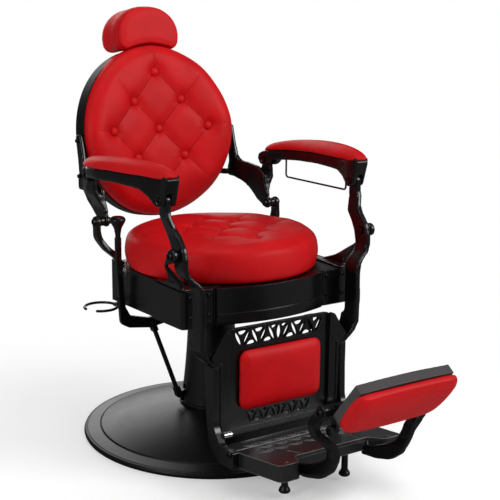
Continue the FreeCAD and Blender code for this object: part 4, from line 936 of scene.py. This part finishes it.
@dataclass
class ArmPad(Pad):
    """An armrest pad whose front end rolls down over the nose of its casting."""

    start_mm: float = -185.0
    length_mm: float = 74.0
    reach_mm: float = 14.0
    droop_mm: float = 6.0

    def shape(self, piece: bpy.types.Object) -> None:
        """Stretch the front end forwards and down.

        Args:
            piece: The refined pad.
        """
        local = self.set_out.inside(points_of(piece))
        share = ramp(local[:, 1], self.start_mm, -self.length_mm)
        local[:, 1] -= self.reach_mm * share ** 1.4
        local[:, 2] -= self.droop_mm * share ** 2
        set_points(piece, self.set_out.outside(local))


@dataclass
class DomedPad(Pad):
    """A pillow-like pad: crowned in the middle and rolled down to its edge all round."""

    half: tuple[float, float] = (100.0, 60.0)
    middle: tuple[float, float] = (0.0, 0.0)
    corner_mm: float = 24.0
    roll_mm: float = 40.0
    roll_power: float = 2.6
    rise_mm: float = 24.0
    sag: float = 0.16               # how much lower the dome is at its half width, as a share
    face_turn: tuple[float, float] = (0.1, 0.4)         # how far out skin faces to be domed
    firmness: float = 0.92          # the share of the way to the dome that the skin goes
    hem: tuple[float, float] = (5.0, 6.0)               # the height at which the dome takes over
    draw_in: float = 0.0            # how much narrower the lower end is, as a share
    draw_from_mm: float = 20.0

    def dome(self, places: np.ndarray) -> np.ndarray:
        """Give the dome's height.

        Args:
            places: Places in the working frame.

        Returns:
            Heights along its out.
        """
        offset = np.abs(places[:, :2] - np.array(self.middle))
        corner = offset - (np.array(self.half) - self.corner_mm)
        outside = np.linalg.norm(np.maximum(corner, 0.0), axis=1) + np.minimum(corner.max(axis=1), 0.0)
        inset = ramp(outside, self.corner_mm, -self.roll_mm)
        crown = 1.0 - self.sag * ((offset / np.array(self.half)) ** 2).sum(axis=1)
        return self.rise_mm * (1 - (1 - inset) ** self.roll_power) ** 0.5 * crown

    def shape(self, piece: bpy.types.Object) -> None:
        """Bring the face to its dome, keeping a little of the simulated slack.

        Args:
            piece: The refined pad.
        """
        outward = normals_of(piece)
        local = self.set_out.inside(points_of(piece))
        face = ramp(outward @ self.set_out.axes[2], *self.face_turn) * self.firmness
        height = self.dome(local)
        local[:, 2] += face * ramp(height, *self.hem) * (height - local[:, 2])
        low = ramp(local[:, 1], self.middle[1] + self.draw_from_mm, -(self.half[1] + self.draw_from_mm))
        local[:, 0] *= 1 - self.draw_in * low ** 2
        set_points(piece, self.set_out.outside(local))


@dataclass
class ButtonRow:
    """Vinyl-covered buttons: one flattened dome with a drawn-in hem, copied to each tuft."""

    name: str
    node: str
    body: Body
    set_out: SetOut
    places: list[tuple[float, float, float]]
    radius_mm: float = 12.5
    rise_mm: float = 7.5
    hem: float = 0.35               # how far below its widest the button ends, as a share of its rise

    def build(self, book: FinishBook) -> bpy.types.Object:
        """Model one button, copy it to every tuft and join the copies.

        Args:
            book: The chair's finishes.

        Returns:
            The buttons as one piece.
        """
        first = self.model_one()
        form = points_of(first)
        copies = []
        for number, place in enumerate(self.places):
            copy = first.copy()
            copy.data = first.data.copy()
            bpy.context.scene.collection.objects.link(copy)
            set_points(copy, self.set_out.outside(form / MM + np.array(place)))
            copy.name = f"{self.name}_{number}"
            copies.append(copy)
        bpy.data.objects.remove(first)
        deselect()
        for copy in copies:
            copy.select_set(True)
        bpy.context.view_layer.objects.active = copies[0]
        bpy.ops.object.join()
        piece = bpy.context.view_layer.objects.active
        piece.name = self.name
        bpy.ops.object.shade_smooth()
        book.dress(piece, Slot.VINYL)
        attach(piece, self.body.value)
        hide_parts(self.node)
        LOG.info("buttons %s: %d", self.name, len(self.places))
        return piece

    def model_one(self) -> bpy.types.Object:
        """Model one button at the origin, domed along +Z.

        Returns:
            The button.
        """
        deselect()
        bpy.ops.mesh.primitive_uv_sphere_add(segments=28, ring_count=16, radius=self.radius_mm * MM)
        button = bpy.context.object
        bpy.ops.object.mode_set(mode="EDIT")
        bpy.ops.mesh.select_all(action="SELECT")
        bpy.ops.transform.resize(value=(1.0, 1.0, self.rise_mm / self.radius_mm))
        bpy.ops.mesh.bisect(plane_co=(0, 0, -self.hem * self.rise_mm * MM), plane_no=(0, 0, 1),
                            use_fill=True, clear_inner=True)
        bpy.ops.mesh.select_all(action="SELECT")
        bpy.ops.mesh.normals_make_consistent(inside=False)
        bpy.ops.object.mode_set(mode="OBJECT")
        return button


@dataclass
class SoftCasting:
    """A cast piece with the rounded edges that sand casting and a thick coat leave."""

    node: str
    body: Body
    cell_mm: float = 2.2
    rounds: int = 10

    def build(self, book: FinishBook) -> bpy.types.Object:
        """Remesh the CAD piece to even cells and soften its edges.

        Args:
            book: The chair's finishes.

        Returns:
            The casting, which rides on its body and replaces its CAD node.
        """
        piece = copy_of_node(self.node, f"{self.node}_casting")
        even_out(piece, self.cell_mm, self.rounds)
        self.form(piece)
        bpy.ops.object.shade_smooth()
        book.dress(piece, Slot.CASTING)
        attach(piece, self.body.value)
        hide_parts(self.node)
        LOG.info("casting %s has %d faces", self.node, len(piece.data.polygons))
        return piece

    def form(self, piece: bpy.types.Object) -> None:
        """Leave the casting as it is; the arms round their noses in here."""


@dataclass
class ArmCasting(SoftCasting):
    """An arm whose square nose is rounded at the top, at the bottom and down both sides."""

    rounds: int = 24
    nose_middle: float = 272.0
    top_turn: tuple[float, float, float] = (-246.0, 716.0, 25.5)        # middle's y and z, radius
    bottom_turn: tuple[float, float, float] = (-250.0, 690.0, 21.5)
    side_turn: tuple[float, float, float] = (-257.0, 6.0, 14.5)         # y, half width, radius

    def form(self, piece: bpy.types.Object) -> None:
        """Draw every corner of the nose back to its arc.

        Args:
            piece: The softened arm.
        """
        places = points_of(piece) / MM
        side = np.sign(places[:, 0])
        across = np.abs(places[:, 0]) - self.nose_middle
        ahead, middle, radius = self.top_turn
        front, rise = pull_to_arc(ahead - places[:, 1], places[:, 2] - middle, radius)
        places[:, 1], places[:, 2] = ahead - front, middle + rise
        ahead, middle, radius = self.bottom_turn
        front, fall = pull_to_arc(ahead - places[:, 1], middle - places[:, 2], radius)
        places[:, 1], places[:, 2] = ahead - front, middle - fall
        ahead, half, radius = self.side_turn
        front, width = pull_to_arc(ahead - places[:, 1], np.abs(across) - half, radius)
        places[:, 1] = ahead - front
        places[:, 0] = side * (self.nose_middle + np.sign(across) * (width + half))
        set_points(piece, places * MM)


@dataclass(frozen=True)
class Ironwork:
    """The cast arms, and the castings that carry the seat, the back, the leg rest and the foot board."""

    plain: tuple[tuple[str, Body], ...] = (
        ("front_tower", Body.CHASSIS), ("rear_post", Body.CHASSIS), ("back_bracket", Body.BACKREST),
        ("side_lever", Body.LEG_REST), ("curl_arm", Body.LEG_REST))

    def build(self, book: FinishBook) -> None:
        """Make every softened casting.

        Args:
            book: The chair's finishes.
        """
        for side, arm in ARMS:
            ArmCasting(f"arm_frame_{side}", arm).build(book)
            for name, body in self.plain:
                SoftCasting(f"{name}_{side}", body).build(book)


@dataclass(frozen=True)
class Lamp:
    """A square soft lamp: where it hangs, the point it faces and its side in metres, and its watts."""

    name: str
    place: tuple[float, float, float]
    target: tuple[float, float, float]
    side: float
    power: float

    def build(self) -> None:
        """Hang the lamp."""
        light = bpy.data.lights.new(self.name, "AREA")
        light.size = self.side
        light.energy = self.power
        lamp = bpy.data.objects.new(self.name, light)
        lamp.location = self.place
        lamp.rotation_euler = (Vector(self.target) - Vector(self.place)).to_track_quat("-Z", "Y").to_euler()
        bpy.context.scene.collection.objects.link(lamp)


@dataclass(frozen=True)
class Studio:
    """Pale floor, soft lamps and the camera at the photograph's viewing angle."""

    lens_mm: float = 78.58
    sensor_mm: float = 36.0
    camera_place: tuple[float, float, float] = (-1.48008, -2.33442, 1.11026)
    camera_heading: float = -31.754
    camera_pitch: float = 12.715
    camera_shift: float = 0.1
    camera_reach: float = 60.0
    floor_span: float = 40.0
    floor_paint: str = "e4e4e4"
    mirrored_floor: str = "707070"
    floor_lift: float = 0.29
    floor_fade: tuple[float, float] = (0.55, 1.15)      # metres out at which the floor turns white
    sky: float = 0.46
    gloss_sky: float = 0.07
    lamps: tuple[Lamp, ...] = (
        Lamp("key", (2.0, -2.7, 2.3), (0, 0, 0.55), 1.5, 70),
        Lamp("left", (-3.0, -0.9, 1.5), (0, 0, 0.6), 0.6, 20),
        Lamp("top", (-0.3, -0.4, 3.3), (0, 0, 0.4), 2.0, 21),
        Lamp("rear", (1.0, 3.4, 1.55), (0, 0, 0.3), 2.6, 40),
    )

    def build(self) -> None:
        """Set up everything that isn't the chair."""
        self.add_floor()
        self.add_world()
        for lamp in self.lamps:
            lamp.build()
        self.add_camera()

    def add_floor(self) -> None:
        """Lay a wide pale floor: white further out, and with the chair's soft shadow near it."""
        deselect()
        bpy.ops.mesh.primitive_plane_add(size=self.floor_span, location=(0, 0, 0))
        floor = bpy.context.object
        floor.name = "studio_floor"
        material, tree = empty_material("studio_floor_paint")
        path = add_node(tree, "ShaderNodeLightPath")
        paint = add_node(tree, "ShaderNodeBsdfDiffuse", {"Color": linear(self.floor_paint)})
        shade = add_node(tree, "ShaderNodeBsdfDiffuse", {"Color": linear(self.mirrored_floor)})
        bounce = add_node(tree, "ShaderNodeMixShader", {
            0: path.outputs["Is Glossy Ray"], 1: paint.outputs["BSDF"], 2: shade.outputs["BSDF"]})
        lift = add_node(tree, "ShaderNodeEmission", {"Color": (1, 1, 1, 1), "Strength": self.floor_lift})
        near = add_node(tree, "ShaderNodeAddShader", {0: paint.outputs["BSDF"], 1: lift.outputs["Emission"]})
        white = add_node(tree, "ShaderNodeEmission", {"Color": (1, 1, 1, 1), "Strength": 1.0})
        place = add_node(tree, "ShaderNodeTexCoord").outputs["Object"]
        span = add_node(tree, "ShaderNodeVectorMath", {0: place}, operation="LENGTH")
        far = add_node(tree, "ShaderNodeMapRange", {
            "Value": span.outputs["Value"], "From Min": self.floor_fade[0], "From Max": self.floor_fade[1],
            "To Min": 0.0, "To Max": 1.0})
        shown = add_node(tree, "ShaderNodeMixShader", {
            0: far.outputs["Result"], 1: near.outputs["Shader"], 2: white.outputs["Emission"]})
        pick = add_node(tree, "ShaderNodeMixShader", {
            0: path.outputs["Is Camera Ray"], 1: bounce.outputs["Shader"], 2: shown.outputs["Shader"]})
        add_node(tree, "ShaderNodeOutputMaterial", {"Surface": pick.outputs["Shader"]})
        floor.data.materials.append(material)

    def add_world(self) -> None:
        """Make a sky that is white to the camera, dimmer as a light and dimmest in reflections."""
        world = bpy.data.worlds.new("studio_world")
        bpy.context.scene.world = world
        world.use_nodes = True
        tree = world.node_tree
        tree.nodes.clear()
        path = add_node(tree, "ShaderNodeLightPath")
        level = add_node(tree, "ShaderNodeMapRange", {
            "Value": path.outputs["Is Glossy Ray"], "From Min": 0.0, "From Max": 1.0,
            "To Min": self.sky, "To Max": self.gloss_sky})
        dim = add_node(tree, "ShaderNodeBackground", {"Color": (1, 1, 1, 1),
                                                      "Strength": level.outputs["Result"]})
        white = add_node(tree, "ShaderNodeBackground", {"Color": (1, 1, 1, 1), "Strength": 1.0})
        pick = add_node(tree, "ShaderNodeMixShader", {
            0: path.outputs["Is Camera Ray"], 1: dim.outputs["Background"], 2: white.outputs["Background"]})
        add_node(tree, "ShaderNodeOutputWorld", {"Surface": pick.outputs["Shader"]})

    def add_camera(self) -> None:
        """Place the camera where the photograph was taken from."""
        lens = bpy.data.cameras.new("photo_camera")
        lens.lens = self.lens_mm
        lens.sensor_width = self.sensor_mm
        lens.shift_x = self.camera_shift
        lens.clip_end = self.camera_reach
        camera = bpy.data.objects.new("photo_camera", lens)
        camera.location = self.camera_place
        camera.rotation_euler = (math.radians(90 - self.camera_pitch), 0, math.radians(self.camera_heading))
        bpy.context.scene.collection.objects.link(camera)
        bpy.context.scene.camera = camera


@dataclass(frozen=True)
class Upholstery:
    """Every cushion and pad of the chair, with its buttons and seams."""

    lean: float = 7.8
    back_face: tuple[float, float, float] = (0.0, 264.0, 777.0)
    back_dish: float = 610.0
    back_drop: float = 8.0
    seat_top: float = 559.3
    seat_middle: float = -46.0
    seat_tuft_y: float = -70.0
    seat_crown: tuple[float, float] = (8.0, 216.0)
    button_sit: float = 1.5         # how far a button's widest stands above the floor of its pit
    arm_level: float = 740.0
    calf_face: tuple[float, float, float] = (0.0, -304.0, 243.0)
    board_face: tuple[float, float, float] = (0.0, -756.0, 352.0)
    board_tilt: float = 53.0
    seat_folds: tuple[RimFold, ...] = (
        RimFold(2, 0, (222, -64)), RimFold(1, 1, (150, 46)), RimFold(1, -1, (138, -196)),
        RimFold(0, -2, (0, -242)), RimFold(0, 2, (0, 116)))
    back_folds: tuple[RimFold, ...] = (
        RimFold(0, 2, (0, 216)), RimFold(1, 1, (140, 150)), RimFold(2, 0, (208, 4)),
        RimFold(1, -1, (132, -140)), RimFold(0, -2, (0, -224)))

    def back_set_out(self) -> SetOut:
        """Return the backrest's working frame: right, up along the lean, and out of its face."""
        turn = math.radians(self.lean)
        return SetOut(self.back_face, (1, 0, 0), (0, math.sin(turn), math.cos(turn)))

    def build(self, book: FinishBook) -> None:
        """Make all the padded pieces.

        Args:
            book: The chair's finishes.
        """
        self.build_seat(book)
        self.build_back(book)
        self.build_headrest(book)
        self.build_arms(book)
        self.build_leg_pads(book)

    def sew_buttons(self, pad: TuftedPad, name: str, node: str, book: FinishBook) -> None:
        """Set a button into each pit of a tufted pad.

        Args:
            pad: The pad.
            name: Name of the joined buttons.
            node: The CAD node that they replace.
            book: The chair's finishes.
        """
        places = [(across, up, pad.height_at(across, up) - pad.pit_mm + self.button_sit)
                  for across, up in pad.buttons()]
        ButtonRow(name, node, pad.body, pad.set_out, places).build(book)

    def build_seat(self, book: FinishBook) -> None:
        """Make the round seat cushion with its nine buttons.

        Args:
            book: The chair's finishes.
        """
        seat = TuftedPad("seat_cushion", "seat_upholstery", Body.CHASSIS, SetOut((0, 0, self.seat_top)),
                         voxel_mm=4.0, cap_mm=2.4, fill=0.75, pitch=(68.0, 63.0),
                         centre=(0.0, self.seat_tuft_y), rim_folds=self.seat_folds,
                         crown=(*self.seat_crown, self.seat_middle), dimple=(24.0, 10.0),
                         face_radius=205.0, valley_mm=3.6, puff_mm=3.2)
        seat.build(book)
        self.sew_buttons(seat, "seat_button_set", "seat_buttons", book)

    def build_back(self, book: FinishBook) -> None:
        """Make the round dished back cushion with its nine buttons.

        Args:
            book: The chair's finishes.
        """
        back = TuftedPad("back_cushion", "back_upholstery", Body.BACKREST, self.back_set_out(),
                         voxel_mm=4.0, cap_mm=1.4, fill=0.75, pitch=(74.0, 77.0),
                         rim_folds=self.back_folds, crown=(0.0, 1.0, -self.back_drop),
                         dish_radius=self.back_dish, dimple=(28.0, 13.0), face_radius=198.0,
                         valley_mm=2.6, brow=(9.0, 60.0, 221.0), roll=(120.0, 232.0, 13.0))
        back.build(book)
        self.sew_buttons(back, "back_button_set", "back_buttons", book)

    def build_headrest(self, book: FinishBook) -> None:
        """Make the D-shaped headrest, whose face is sewn to a deep side panel."""
        SeamedPad("headrest_pad", "headrest_upholstery", Body.HEADREST, self.back_set_out(), voxel_mm=3.6,
                  cap_mm=0.9, soften_steps=2, seam_levels=(-27.0, -124.0), fill=0.8, hold_out=-0.9,
                  settle_mm=(4.0, 14.0), span=(221.0, 347.0)).build(book)

    def build_arms(self, book: FinishBook) -> None:
        """Make the two armrest pads."""
        for side, body in ARMS:
            ArmPad(f"arm_pad_{side}", f"arm_upholstery_{side}", body, SetOut((0, 0, self.arm_level)),
                   voxel_mm=3.5, cap_mm=1.6, shrink_mm=1.0, fill=0.85, hold_out=-0.2).build(book)

    def build_leg_pads(self, book: FinishBook) -> None:
        """Make the calf pad on the pierced panel, and the foot board's pad.

        Args:
            book: The chair's finishes.
        """
        calf = SetOut(self.calf_face, (1, 0, 0), (0, 0, 1))
        DomedPad("calf_pad", "calf_upholstery", Body.LEG_REST, calf, voxel_mm=3.5, cap_mm=1.0,
                 shrink_mm=0.8, fill=0.85, hold_out=-0.2, half=(121.0, 77.0), rise_mm=27.0).build(book)
        turn = math.radians(self.board_tilt)
        board = SetOut(self.board_face, (1, 0, 0), (0, -math.cos(turn), math.sin(turn)))
        DomedPad("board_pad", "board_upholstery", Body.FOOTBOARD, board, voxel_mm=3.5, cap_mm=1.2,
                 shrink_mm=0.8, fill=0.8, hold_out=-0.2, half=(147.0, 70.0), middle=(0.0, -63.0),
                 corner_mm=40.0, rise_mm=30.0, draw_in=0.16).build(book)


def main() -> None:
    """Build the chair's looks, the studio and the camera."""
    logging.basicConfig(level=logging.INFO)
    scene = bpy.context.scene
    scene.view_settings.view_transform = "Standard"
    book = FinishBook()
    book.dress_frame()
    Upholstery().build(book)
    Ironwork().build(book)
    Studio().build()


if __name__ == "__main__":
    main()
